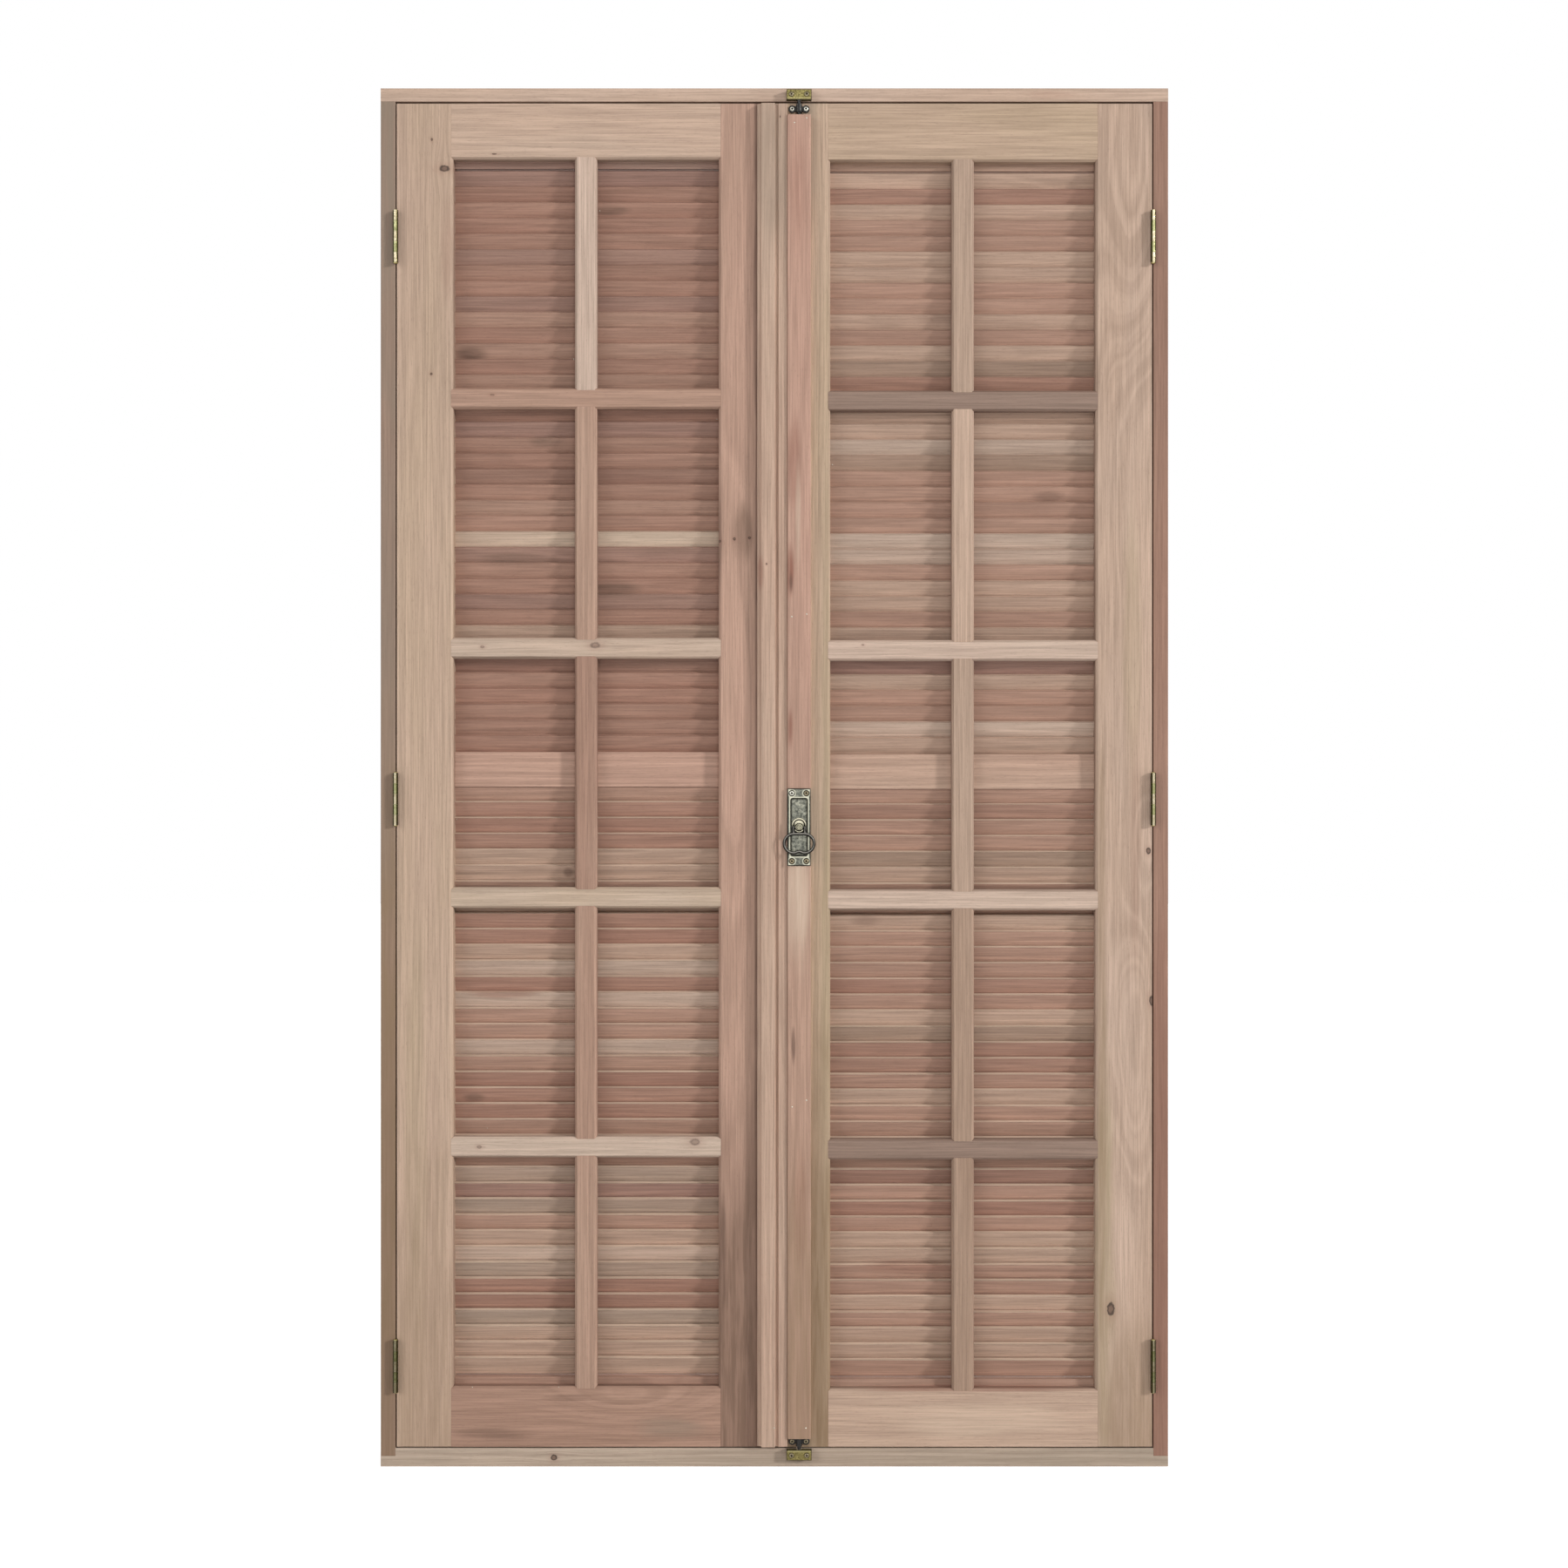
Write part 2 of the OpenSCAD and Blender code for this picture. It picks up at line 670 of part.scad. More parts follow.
module uprights(side) {
    half = upright_w / 2;
    color(light_wood) on_side(side) difference() {
        for (i = [0 : bar_rows]) {
            low = rail_high(side) + i * (cell_h + bar_w);
            translate([upright_x, 0, low - edge_chamfer]) linear_extrude(cell_h + 2 * edge_chamfer) polygon([
                [-half + edge_chamfer, face_y], [half - edge_chamfer, face_y], [half, face_y + edge_chamfer],
                [half, face_y + bar_t], [-half, face_y + bar_t], [-half, face_y + edge_chamfer]]);
        }
        for (i = [1 : bar_rows]) bar_stock(side, i);
        top_rail_stock(side);
        bottom_rail_stock(side);
    }
}

module slats(side, zs) {
    w = slat_w / 2;
    t = slat_t / 2;
    c = slat_chamfer;
    color(slat_wood) on_side(side) for (z = zs)
        along_x(-field_out - slat_housing, field_w + 2 * slat_housing)
            translate([slat_y, z]) rotate(180 - slat_angle) polygon([
                [-w + c, -t], [w - c, -t], [w, -t + c], [w, t - c],
                [w - c, t], [-w + c, t], [-w, t - c], [-w, -t + c]]);
}

module left_hinge_stile() { hinge_stile(-1); }
module left_meeting_stile() { color(light_wood) meeting_stile(-1); }
module left_top_rail() { top_rail(-1); }
module left_bottom_rail() { bottom_rail(-1); }
module left_middle_rail() { middle_rail(-1); }
module left_upper_slats() { slats(-1, upper_slat_zs(-1)); }
module left_lower_slats() { slats(-1, lower_slat_zs(-1)); }
module left_bar_1() { bar(-1, 1); }
module left_bar_2() { bar(-1, 2); }
module left_bar_3() { bar(-1, 3); }
module left_bar_4() { bar(-1, 4); }
module left_uprights() { uprights(-1); }
module right_hinge_stile() { hinge_stile(1); }
module right_top_rail() { top_rail(1); }
module right_bottom_rail() { bottom_rail(1); }
module right_middle_rail() { middle_rail(1); }
module right_upper_slats() { slats(1, upper_slat_zs(1)); }
module right_lower_slats() { slats(1, lower_slat_zs(1)); }
module right_bar_1() { bar(1, 1); }
module right_bar_2() { bar(1, 2); }
module right_bar_3() { bar(1, 3); }
module right_bar_4() { bar(1, 4); }
module right_uprights() { uprights(1); }

module right_meeting_stile() {
    color(light_wood) difference() {
        meeting_stile(1);
        screw_bores(case_screw_at, case_front);
        screw_bores(guide_screw_at, ear_t);
    }
}

// Strips on the meeting stiles

module astragal() {
    flat_end = astragal_seat - low_flat_w - quirk_w;
    length = leaf_top - leaf_bottom - 2 * astragal_short;
    color(light_wood) translate([0, 0, leaf_bottom + astragal_short]) linear_extrude(length)
        translate([0, face_y]) mirror([0, 1]) difference() {
            polygon([
                [-astragal_lap, astragal_gap], [leaf_in, astragal_gap], [leaf_in, 0], [astragal_seat, 0],
                [astragal_seat, astragal_low_t], [flat_end + quirk_w, astragal_low_t],
                [flat_end + quirk_w, astragal_low_t - quirk_d], [flat_end, astragal_low_t - quirk_d],
                [flat_end, astragal_t], [-astragal_lap, astragal_t]]);
            translate([-astragal_lap, astragal_t - cove_step]) circle(cove_r);
            translate([-astragal_lap - over, astragal_t - cove_step]) square([cove_r + over, cove_step + over]);
        }
}

module rod_cover(z0, z1) {
    half = cover_w / 2;
    color(light_wood) translate([bolt_x, face_y, z0]) linear_extrude(z1 - z0) mirror([0, 1]) polygon([
        [-half, 0], [-channel_w / 2, 0], [-channel_w / 2, cavity_d], [channel_w / 2, cavity_d],
        [channel_w / 2, 0], [half, 0], [half, cover_t - cover_chamfer], [half - cover_chamfer, cover_t],
        [-half + cover_chamfer, cover_t], [-half, cover_t - cover_chamfer]]);
}

module upper_rod_cover() { rod_cover(bolt_z + case_h / 2, upper_guide_z - cover_gap); }
module lower_rod_cover() { rod_cover(lower_guide_z + guide_h, bolt_z - case_h / 2); }

// Cremone bolt

module bolt_case() {
    color(old_brass) difference() {
        outward(0, case_front) translate([bolt_x, bolt_z]) square([case_w, case_h], center = true);
        outward(case_t, case_front + over) translate([bolt_x, bolt_z]) rounded_rect(panel_w, panel_h, panel_r);
        outward(-over, cavity_d) translate([bolt_x, bolt_z]) {
            square([cavity_w, cavity_h], center = true);
            square([channel_w, case_h + over], center = true);
        }
        outward(0, case_front) translate([bolt_x, bolt_z]) circle(d = spindle_d + 2 * spindle_fit);
        screw_bores(case_screw_at, case_front);
    }
}

module case_liner() {
    color(dark_iron) outward(0, liner_t) translate([bolt_x, bolt_z])
        square([cavity_w, cavity_h], center = true);
}

module rod_guide(z0) {
    saddle_d = rod_d + 2 * rod_fit + 2 * guide_wall;
    color(dark_iron) difference() {
        union() {
            outward(0, ear_t) translate([bolt_x, z0 + guide_h / 2]) {
                for (sx = [-1, 1]) translate([sx * guide_screws / 2, 0]) circle(ear_r);
                square([guide_screws, ear_web], center = true);
            }
            outward(0, rod_out) translate([bolt_x - saddle_d / 2, z0]) square([saddle_d, guide_h]);
            translate([bolt_x, face_y - rod_out, z0]) cylinder(d = saddle_d, h = guide_h);
        }
        translate([bolt_x, face_y - rod_out, z0 - over])
            cylinder(d = rod_d + 2 * rod_fit, h = guide_h + 2 * over);
        screw_bores(guide_screw_at, ear_t);
    }
}

module upper_rod_guide() { rod_guide(upper_guide_z); }
module lower_rod_guide() { rod_guide(lower_guide_z); }

module bolt_screws() {
    color(bright_steel) {
        for (at = case_screw_at) screw(at, case_front);
        for (at = guide_screw_at) screw(at, ear_t);
    }
}

// A keep is drawn upwards from its edge beside the leaf
module keep_stock() {
    front_y = face_y - keep_t;
    along_x(bolt_x - keep_w / 2, keep_w) polygon([[face_y, 0], [front_y + keep_chamfer, 0],
        [front_y, keep_chamfer], [front_y, keep_h], [face_y, keep_h]]);
}

module keep_cuts(z0, screws_at) {
    outward(-over, cavity_d) translate([bolt_x - rod_d / 2 - keep_play, z0 - over])
        square([rod_d + 2 * keep_play, keep_h + 2 * over]);
    screw_bores(screws_at, keep_t);
}

module top_keep() {
    color(old_brass) difference() {
        translate([0, 0, top_keep_z]) keep_stock();
        keep_cuts(top_keep_z, top_keep_screw_at);
    }
}

module bottom_keep() {
    color(old_brass) difference() {
        translate([0, 0, bottom_keep_z + keep_h]) mirror([0, 0, 1]) keep_stock();
        keep_cuts(bottom_keep_z, bottom_keep_screw_at);
    }
}

module keep_screws() {
    color(bright_steel) for (at = concat(top_keep_screw_at, bottom_keep_screw_at)) screw(at, keep_t);
}

// The rack stands to the left of the pinion, and its elbow carries the rod on the pinion's middle line
module rack_outline() {
    tooth_half = (tooth_pitch / 2 - backlash / 2) / 2;
    root_half = tooth_half + rack_root * tan(pressure_angle);
    tip_half = tooth_half - rack_tip * tan(pressure_angle);
    translate([-rack_back, -rack_half]) square([rack_back_w, 2 * rack_half]);
    for (i = [0 : rack_teeth - 1]) translate([-gear_r, (i + 0.5) * tooth_pitch - rack_half])
        polygon([[-rack_root, -root_half], [rack_tip, -tip_half], [rack_tip, tip_half], [-rack_root, root_half]]);
    translate([-rack_back, rack_half - elbow_h]) square([rack_back + rod_d / 2, elbow_h]);
}

module upper_bolt_rod() {
    root_z = bolt_z + rack_half - elbow_h / 2;
    color(dark_iron) {
        outward(rod_out - gear_t / 2, rod_out + gear_t / 2) translate([bolt_x, bolt_z]) rack_outline();
        translate([bolt_x, face_y - rod_out, root_z]) cylinder(d = rod_d, h = upper_tip_z - root_z);
    }
}

module lower_bolt_rod() {
    root_z = bolt_z - rack_half + elbow_h / 2;
    color(dark_iron) {
        outward(rod_out - gear_t / 2, rod_out + gear_t / 2) translate([bolt_x, bolt_z])
            rotate(180) rack_outline();
        translate([bolt_x, face_y - rod_out, lower_tip_z]) cylinder(d = rod_d, h = root_z - lower_tip_z);
    }
}

function involute(a) = tan(a) * 180 / PI - a;
function polar(r, a) = [r * cos(a), r * sin(a)];
function tooth_half_angle(r) =
    (tooth_pitch / 2 - backlash / 2) / (2 * gear_r) * 180 / PI
    + involute(pressure_angle) - involute(acos(min(1, gear_base_r / r)));

module gear_outline() {
    steps = 5;
    rise = (gear_tip_r - gear_base_r) / steps;
    polygon([for (i = [0 : gear_teeth - 1])
        let (mid = i * 360 / gear_teeth)
        each concat(
            [polar(gear_root_r, mid - tooth_half_angle(gear_base_r))],
            [for (k = [0 : steps]) polar(gear_base_r + k * rise, mid - tooth_half_angle(gear_base_r + k * rise))],
            [for (k = [steps : -1 : 0]) polar(gear_base_r + k * rise, mid + tooth_half_angle(gear_base_r + k * rise))],
            [polar(gear_root_r, mid + tooth_half_angle(gear_base_r))])]);
}

module drive_gear() {
    color(dark_iron) outward(rod_out - gear_t / 2, rod_out + gear_t / 2) translate([bolt_x, bolt_z])
        difference() {
            gear_outline();
            square(drive_w, center = true);
        }
}

module bolt_knob() {
    gear_front = rod_out + gear_t / 2;
    boss_r = boss_d / 2;
    dome_r = (boss_r * boss_r + dome_h * dome_h) / (2 * dome_h);
    color(old_brass) difference() {
        union() {
            outward(rod_out - gear_t / 2, gear_front + over) translate([bolt_x, bolt_z])
                square(drive_w, center = true);
            outward(gear_front, base_out + over) translate([bolt_x, bolt_z]) circle(d = spindle_d);
            outward(base_out, boss_out) translate([bolt_x, bolt_z]) circle(d = knob_d);
            outward(boss_out - over, boss_out + crescent_h) translate([bolt_x, bolt_z]) hood_outline(0);
            outward(boss_out - over, boss_out + hood_h) translate([bolt_x, bolt_z])
                hood_outline(hood_d - 2 * hood_w);
            intersection() {
                outward(boss_out - over, boss_out + boss_h + dome_h + over) translate([bolt_x, bolt_z])
                    circle(boss_r);
                translate([bolt_x, face_y - boss_out - boss_h - dome_h + dome_r, bolt_z]) sphere(dome_r);
            }
        }
        translate([bolt_x, face_y - ring_out, bolt_z]) rotate([0, 90, 0])
            cylinder(d = pivot_d + 2 * pivot_fit, h = knob_d, center = true);
    }
}

// Crescent that roofs the ring's pivots, open inside the given diameter
module hood_outline(inner_d) {
    sill_line = eye_d / 2 + 4 * run_gap;
    difference() {
        translate([0, hood_rise]) circle(d = hood_d);
        if (inner_d > 0) translate([0, hood_rise]) circle(d = inner_d);
        translate([-hood_d, sill_line - 2 * hood_d]) square(2 * hood_d);
    }
}

// Bar bent to an arc in the ring's plane, from angle a0 through "turn"
module ring_arc(x, z, r, a0, turn) {
    translate([x, 0, z]) rotate([90, 0, 0]) rotate(a0) rotate_extrude(angle = turn)
        translate([r, 0]) circle(d = ring_d);
}

module ring_handle() {
    foot_z = ring_mid_z - ring_side_r;
    color(dark_iron) translate([bolt_x, face_y - ring_out, bolt_z]) {
        translate([-ring_side_x, 0, -ring_drop]) rotate([0, 90, 0]) cylinder(d = ring_d, h = 2 * ring_side_x);
        ring_arc(ring_side_x, ring_mid_z, ring_side_r, -90, 180);
        ring_arc(-ring_side_x, ring_mid_z, ring_side_r, 90, 180);
        ring_arc(0, foot_z + foot_rise - foot_r, foot_r, 90 - foot_turn, 2 * foot_turn);
        for (side = [0, 1]) mirror([side, 0, 0]) {
            translate([leg_span / 2, 0, -ring_drop]) cylinder(d = leg_d, h = ring_drop);
            translate([leg_span / 2, 0, 0]) sphere(d = eye_d);
            translate([boss_d / 4, 0, 0]) rotate([0, 90, 0])
                cylinder(d = pivot_d, h = leg_span / 2 - boss_d / 4);
        }
    }
}

head();
sill();
left_jamb();
right_jamb();
left_lower_frame_hinge();
left_middle_frame_hinge();
left_upper_frame_hinge();
right_lower_frame_hinge();
right_middle_frame_hinge();
right_upper_frame_hinge();
left_hinge_pins();
right_hinge_pins();
top_keep();
bottom_keep();
keep_screws();
left_hinge_stile();
left_meeting_stile();
left_top_rail();
left_bottom_rail();
left_middle_rail();
left_upper_slats();
left_lower_slats();
left_bar_1();
left_bar_2();
left_bar_3();
left_bar_4();
left_uprights();
left_lower_leaf_hinge();
left_middle_leaf_hinge();
left_upper_leaf_hinge();
right_hinge_stile();
right_meeting_stile();
right_top_rail();
right_bottom_rail();
right_middle_rail();
right_upper_slats();
right_lower_slats();
right_bar_1();
right_bar_2();
right_bar_3();
right_bar_4();
right_uprights();
right_lower_leaf_hinge();
right_middle_leaf_hinge();
right_upper_leaf_hinge();
astragal();
upper_rod_cover();
lower_rod_cover();
bolt_case();
case_liner();
upper_rod_guide();
lower_rod_guide();
bolt_screws();
bolt_knob();
drive_gear();
ring_handle();
upper_bolt_rod();
lower_bolt_rod();
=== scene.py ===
import bpy
import bmesh
import math
import random
from mathutils import Matrix, Vector
from mathutils.bvhtree import BVHTree


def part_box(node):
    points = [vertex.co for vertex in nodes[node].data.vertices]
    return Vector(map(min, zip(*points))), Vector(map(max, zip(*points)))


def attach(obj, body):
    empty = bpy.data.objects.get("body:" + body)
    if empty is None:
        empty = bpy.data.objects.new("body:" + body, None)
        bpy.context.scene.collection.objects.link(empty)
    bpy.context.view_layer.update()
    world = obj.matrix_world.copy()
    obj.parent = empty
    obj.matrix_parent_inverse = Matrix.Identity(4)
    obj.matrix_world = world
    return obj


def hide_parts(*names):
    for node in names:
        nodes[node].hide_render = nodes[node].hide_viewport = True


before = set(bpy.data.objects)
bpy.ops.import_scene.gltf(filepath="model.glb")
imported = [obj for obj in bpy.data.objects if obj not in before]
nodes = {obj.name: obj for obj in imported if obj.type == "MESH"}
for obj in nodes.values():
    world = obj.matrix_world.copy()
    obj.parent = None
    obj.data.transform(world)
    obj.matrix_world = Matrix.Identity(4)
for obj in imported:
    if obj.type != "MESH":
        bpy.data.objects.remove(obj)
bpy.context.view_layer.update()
scene = bpy.context.scene
print("frame loaded with", len(nodes), "pieces")


def screenColour(red, green, blue):
    # 0-255 as on a screen, turned into the linear values that nodes take
    def linear(c):
        c = c / 255
        return c / 12.92 if c <= 0.04045 else ((c + 0.055) / 1.055) ** 2.4
    return (linear(red), linear(green), linear(blue), 1)


def tones(**entries):
    return {name: screenColour(*levels) for name, levels in entries.items()}


class Bench:
    # keeps the node code short: each call adds one node and returns its output

    def __init__(self, tree):
        self.tree = tree
        self.count = 0

    def node(self, kind, **settings):
        made = self.tree.nodes.new(kind)
        made.location = (self.count % 14 * 190, -(self.count // 14) * 300)
        self.count += 1
        for key, value in settings.items():
            setattr(made, key, value)
        return made

    def put(self, socket, value):
        if isinstance(value, bpy.types.NodeSocket):
            self.tree.links.new(value, socket)
        elif value is not None:
            socket.default_value = value

    def calc(self, operation, a, b=None, c=None, clamp=False):
        made = self.node("ShaderNodeMath", operation=operation, use_clamp=clamp)
        for socket, value in zip(made.inputs, (a, b, c)):
            self.put(socket, value)
        return made.outputs[0]

    def times(self, a, b):
        return self.calc("MULTIPLY", a, b)

    def minus(self, a, b):
        return self.calc("SUBTRACT", a, b)

    def spot(self):
        return self.node("ShaderNodeTexCoord").outputs["Object"]

    def facing(self):
        return self.split(self.node("ShaderNodeTexCoord").outputs["Normal"])

    def vector(self, operation, a, b=None):
        made = self.node("ShaderNodeVectorMath", operation=operation)
        self.put(made.inputs[0], a)
        self.put(made.inputs[1], b)
        return made.outputs["Value" if operation == "LENGTH" else "Vector"]

    def split(self, vector):
        made = self.node("ShaderNodeSeparateXYZ")
        self.put(made.inputs[0], vector)
        return made.outputs

    def join(self, x, y, z):
        made = self.node("ShaderNodeCombineXYZ")
        for socket, value in zip(made.inputs, (x, y, z)):
            self.put(socket, value)
        return made.outputs[0]

    def blend(self, amount, a, b, mode="MIX"):
        made = self.node("ShaderNodeMix", data_type="RGBA", blend_type=mode, clamp_factor=True)
        self.put(made.inputs[0], amount)
        self.put(made.inputs[6], a)
        self.put(made.inputs[7], b)
        return made.outputs[2]

    def coat(self, colour, mask, amount, over):
        return self.blend(self.times(mask, amount), colour, over)

    def brighten(self, colour, factor):
        return self.blend(1.0, colour, self.join(factor, factor, factor), "MULTIPLY")

    def shade(self, colour, value, low, high):
        return self.blend(1.0, colour, self.steps(value, [low, high], False), "MULTIPLY")

    def noise(self, vector, scale, detail=2.0, rough=0.5):
        made = self.node("ShaderNodeTexNoise")
        self.put(made.inputs["Vector"], vector)
        self.put(made.inputs["Scale"], scale)
        self.put(made.inputs["Detail"], detail)
        self.put(made.inputs["Roughness"], rough)
        return made.outputs[0]

    def drawnOut(self, vector, scale, detail=2.0, rough=0.5):
        return self.noise(self.vector("MULTIPLY", vector, scale), 1.0, detail, rough)

    def noiseLine(self, along, detail=2.0, rough=0.5):
        made = self.node("ShaderNodeTexNoise", noise_dimensions="1D")
        self.put(made.inputs["W"], along)
        self.put(made.inputs["Scale"], 1.0)
        self.put(made.inputs["Detail"], detail)
        self.put(made.inputs["Roughness"], rough)
        return made.outputs[0]

    def chance(self, number):
        made = self.node("ShaderNodeTexWhiteNoise", noise_dimensions="1D")
        self.put(made.inputs["W"], number)
        return made.outputs

    def fade(self, value, low, high, toLow=0.0, toHigh=1.0):
        made = self.node("ShaderNodeMapRange", interpolation_type="SMOOTHSTEP")
        for socket, entry in zip(made.inputs, (value, low, high, toLow, toHigh)):
            self.put(socket, entry)
        return made.outputs[0]

    def band(self, value, rise, full, gone, last):
        # in from rise to full, and out between last and gone
        return self.times(self.fade(value, rise, full), self.fade(value, gone, last))

    def steps(self, value, colours, hard=True):
        made = self.node("ShaderNodeValToRGB")
        ramp = made.color_ramp
        ramp.interpolation = "CONSTANT" if hard else "LINEAR"
        while len(ramp.elements) < len(colours):
            ramp.elements.new(0.5)
        for i, (element, colour) in enumerate(zip(ramp.elements, colours)):
            element.position = i / len(colours) if hard else i / (len(colours) - 1)
            element.color = colour
        self.put(made.inputs[0], value)
        return made.outputs[0]

    def use(self, group, **inputs):
        made = self.node("ShaderNodeGroup")
        made.node_tree = group
        for key, value in inputs.items():
            self.put(made.inputs[key], value)
        return made.outputs


def newGroup(name, inputs, outputs):
    group = bpy.data.node_groups.new(name, "ShaderNodeTree")
    for label, kind, start in inputs:
        socket = group.interface.new_socket(name=label, in_out="INPUT", socket_type="NodeSocket" + kind)
        if start is not None:
            socket.default_value = start
    for label, kind in outputs:
        group.interface.new_socket(name=label, in_out="OUTPUT", socket_type="NodeSocket" + kind)
    bench = Bench(group)
    entry = bench.node("NodeGroupInput")
    leave = bench.node("NodeGroupOutput")
    return group, bench, entry.outputs, leave.inputs


# grain runs along Z in this group; the wood materials turn other pieces before they call it
def makeGrain():
    group, b, take, give = newGroup(
        "woodGrain",
        [("Vector", "Vector", None), ("Seed", "Float", 0.0), ("PithX", "Float", 0.2), ("PithY", "Float", 0.1),
         ("LeanX", "Float", 0.0), ("RingWidth", "Float", 0.008), ("Waver", "Float", 0.01), ("Hill", "Float", 0.0)],
        [("Rings", "Float"), ("Fibre", "Float"), ("Streak", "Float"), ("Pores", "Float"), ("Cloud", "Float")])
    shift = b.vector("SCALE", (1.7, 3.1, 5.3))
    b.put(shift.node.inputs["Scale"], take["Seed"])
    moved = b.vector("ADD", take["Vector"], shift)
    sway = b.drawnOut(moved, (5.0, 5.0, 1.6), 2.0)
    ripple = b.drawnOut(moved, (28.0, 28.0, 5.0), 2.0)
    place = b.split(take["Vector"])
    leant = b.times(place[2], take["LeanX"])
    offX = b.minus(b.minus(place[0], take["PithX"]), leant)
    offY = b.minus(place[1], take["PithY"])
    radius = b.vector("LENGTH", b.join(offX, offY, 0.0))
    swayed = b.calc("MULTIPLY_ADD", b.minus(sway, 0.5), take["Waver"], radius)
    rippled = b.calc("MULTIPLY_ADD", b.minus(ripple, 0.5), b.times(take["Waver"], 0.18), swayed)
    count = b.calc("DIVIDE", b.calc("ADD", rippled, take["Hill"]), take["RingWidth"])
    b.put(give["Rings"], b.noiseLine(b.calc("MULTIPLY_ADD", take["Seed"], 13.7, count), 2.0, 0.5))
    b.put(give["Fibre"], b.drawnOut(moved, (420.0, 420.0, 9.0), 4.0, 0.6))
    b.put(give["Streak"], b.drawnOut(moved, (150.0, 150.0, 3.0), 3.0, 0.6))
    dashes = b.drawnOut(moved, (1300.0, 1300.0, 110.0), 1.0)
    b.put(give["Pores"], b.fade(dashes, 0.6, 0.74))
    b.put(give["Cloud"], b.drawnOut(moved, (9.0, 9.0, 1.7), 3.0, 0.55))
    return group


def zoneSockets(width, height):
    return [("Vector", "Vector", None), ("Centre", "Vector", None),
            ("HalfWidth", "Float", width), ("HalfHeight", "Float", height)]


def zonePlace(b, take):
    # distance from the middle of a zone, plain and in its half widths and half heights
    off = b.split(b.vector("SUBTRACT", take["Vector"], take["Centre"]))
    u = b.calc("DIVIDE", off[0], take["HalfWidth"])
    v = b.calc("DIVIDE", off[2], take["HalfHeight"])
    return off, u, v, b.vector("LENGTH", b.join(u, v, 0.0))


# a knot runs through the board in Y: the grain bends round it, its core is dark
def makeKnot():
    group, b, take, give = newGroup(
        "woodKnot",
        zoneSockets(0.005, 0.005) + [("Reach", "Float", 4.0)],
        [("Core", "Float"), ("Rim", "Float"), ("Halo", "Float"), ("Bent", "Vector")])
    off, u, v, clean = zonePlace(b, take)
    rough = b.drawnOut(take["Vector"], (260.0, 0.0, 260.0), 2.0)
    r = b.calc("ADD", clean, b.times(b.minus(rough, 0.5), 0.8))
    b.put(give["Core"], b.fade(r, 1.05, 0.8))
    b.put(give["Rim"], b.band(r, 1.5, 1.05, 0.55, 0.95))
    b.put(give["Halo"], b.fade(clean, take["Reach"], 0.6))
    long = b.vector("LENGTH", b.join(u, b.times(v, 0.28), 0.0))
    pull = b.times(b.fade(long, take["Reach"], 0.3), b.times(off[0], -0.72))
    b.put(give["Bent"], b.vector("ADD", take["Vector"], b.join(pull, 0.0, 0.0)))
    return group


# a swelling in the log, which a flat saw cut shows as ovals, one in another
def makeOval():
    group, b, take, give = newGroup(
        "woodOval",
        zoneSockets(0.04, 0.2) + [("Rise", "Float", 0.05)],
        [("Hill", "Float")])
    off, u, v, r = zonePlace(b, take)
    b.put(give["Hill"], b.times(b.fade(r, 1.0, 0.0), take["Rise"]))
    return group


# a soft stain, also used for a strip of painted shadow, in a box-shaped zone, broken up along the grain
def makeStainAndShadow():
    group, b, take, give = newGroup(
        "woodStainAndShadow",
        zoneSockets(0.02, 0.1) + [("Streaks", "Float", 0.3)],
        [("Mask", "Float")])
    off, u, v, r = zonePlace(b, take)
    streak = b.drawnOut(take["Vector"], (150.0, 150.0, 9.0), 3.0, 0.6)
    wander = b.drawnOut(take["Vector"], (24.0, 24.0, 6.0), 2.0)
    torn = b.calc("ADD", r, b.times(b.minus(wander, 0.5), 0.9))
    zone = b.fade(torn, 1.15, 0.35)
    thin = b.times(b.minus(1.0, b.fade(streak, 0.4, 0.62)), take["Streaks"])
    b.put(give["Mask"], b.times(zone, b.minus(1.0, thin)))
    return group


# mottling, fine scratches and dark specks of old metal
def makePatina():
    group, b, take, give = newGroup(
        "oldMetal",
        [("Vector", "Vector", None), ("Scale", "Float", 300.0), ("Seed", "Float", 0.0)],
        [("Mottle", "Float"), ("Scratch", "Float"), ("Speck", "Float")])
    moved = b.vector("ADD", take["Vector"], b.join(take["Seed"], take["Seed"], 0.0))
    cloud = b.noise(moved, take["Scale"], 5.0, 0.62)
    b.put(give["Mottle"], b.fade(cloud, 0.34, 0.68))
    rubbed = b.noise(b.vector("MULTIPLY", moved, (1.0, 1.0, 9.0)), b.times(take["Scale"], 2.4), 2.0)
    b.put(give["Scratch"], b.fade(rubbed, 0.55, 0.75))
    grit = b.noise(moved, b.times(take["Scale"], 6.0), 2.0)
    b.put(give["Speck"], b.fade(grit, 0.6, 0.72))
    return group


grainGroup = makeGrain()
knotGroup = makeKnot()
ovalGroup = makeOval()
stainAndShadowGroup = makeStainAndShadow()
patinaGroup = makePatina()
print("shared effects ready")
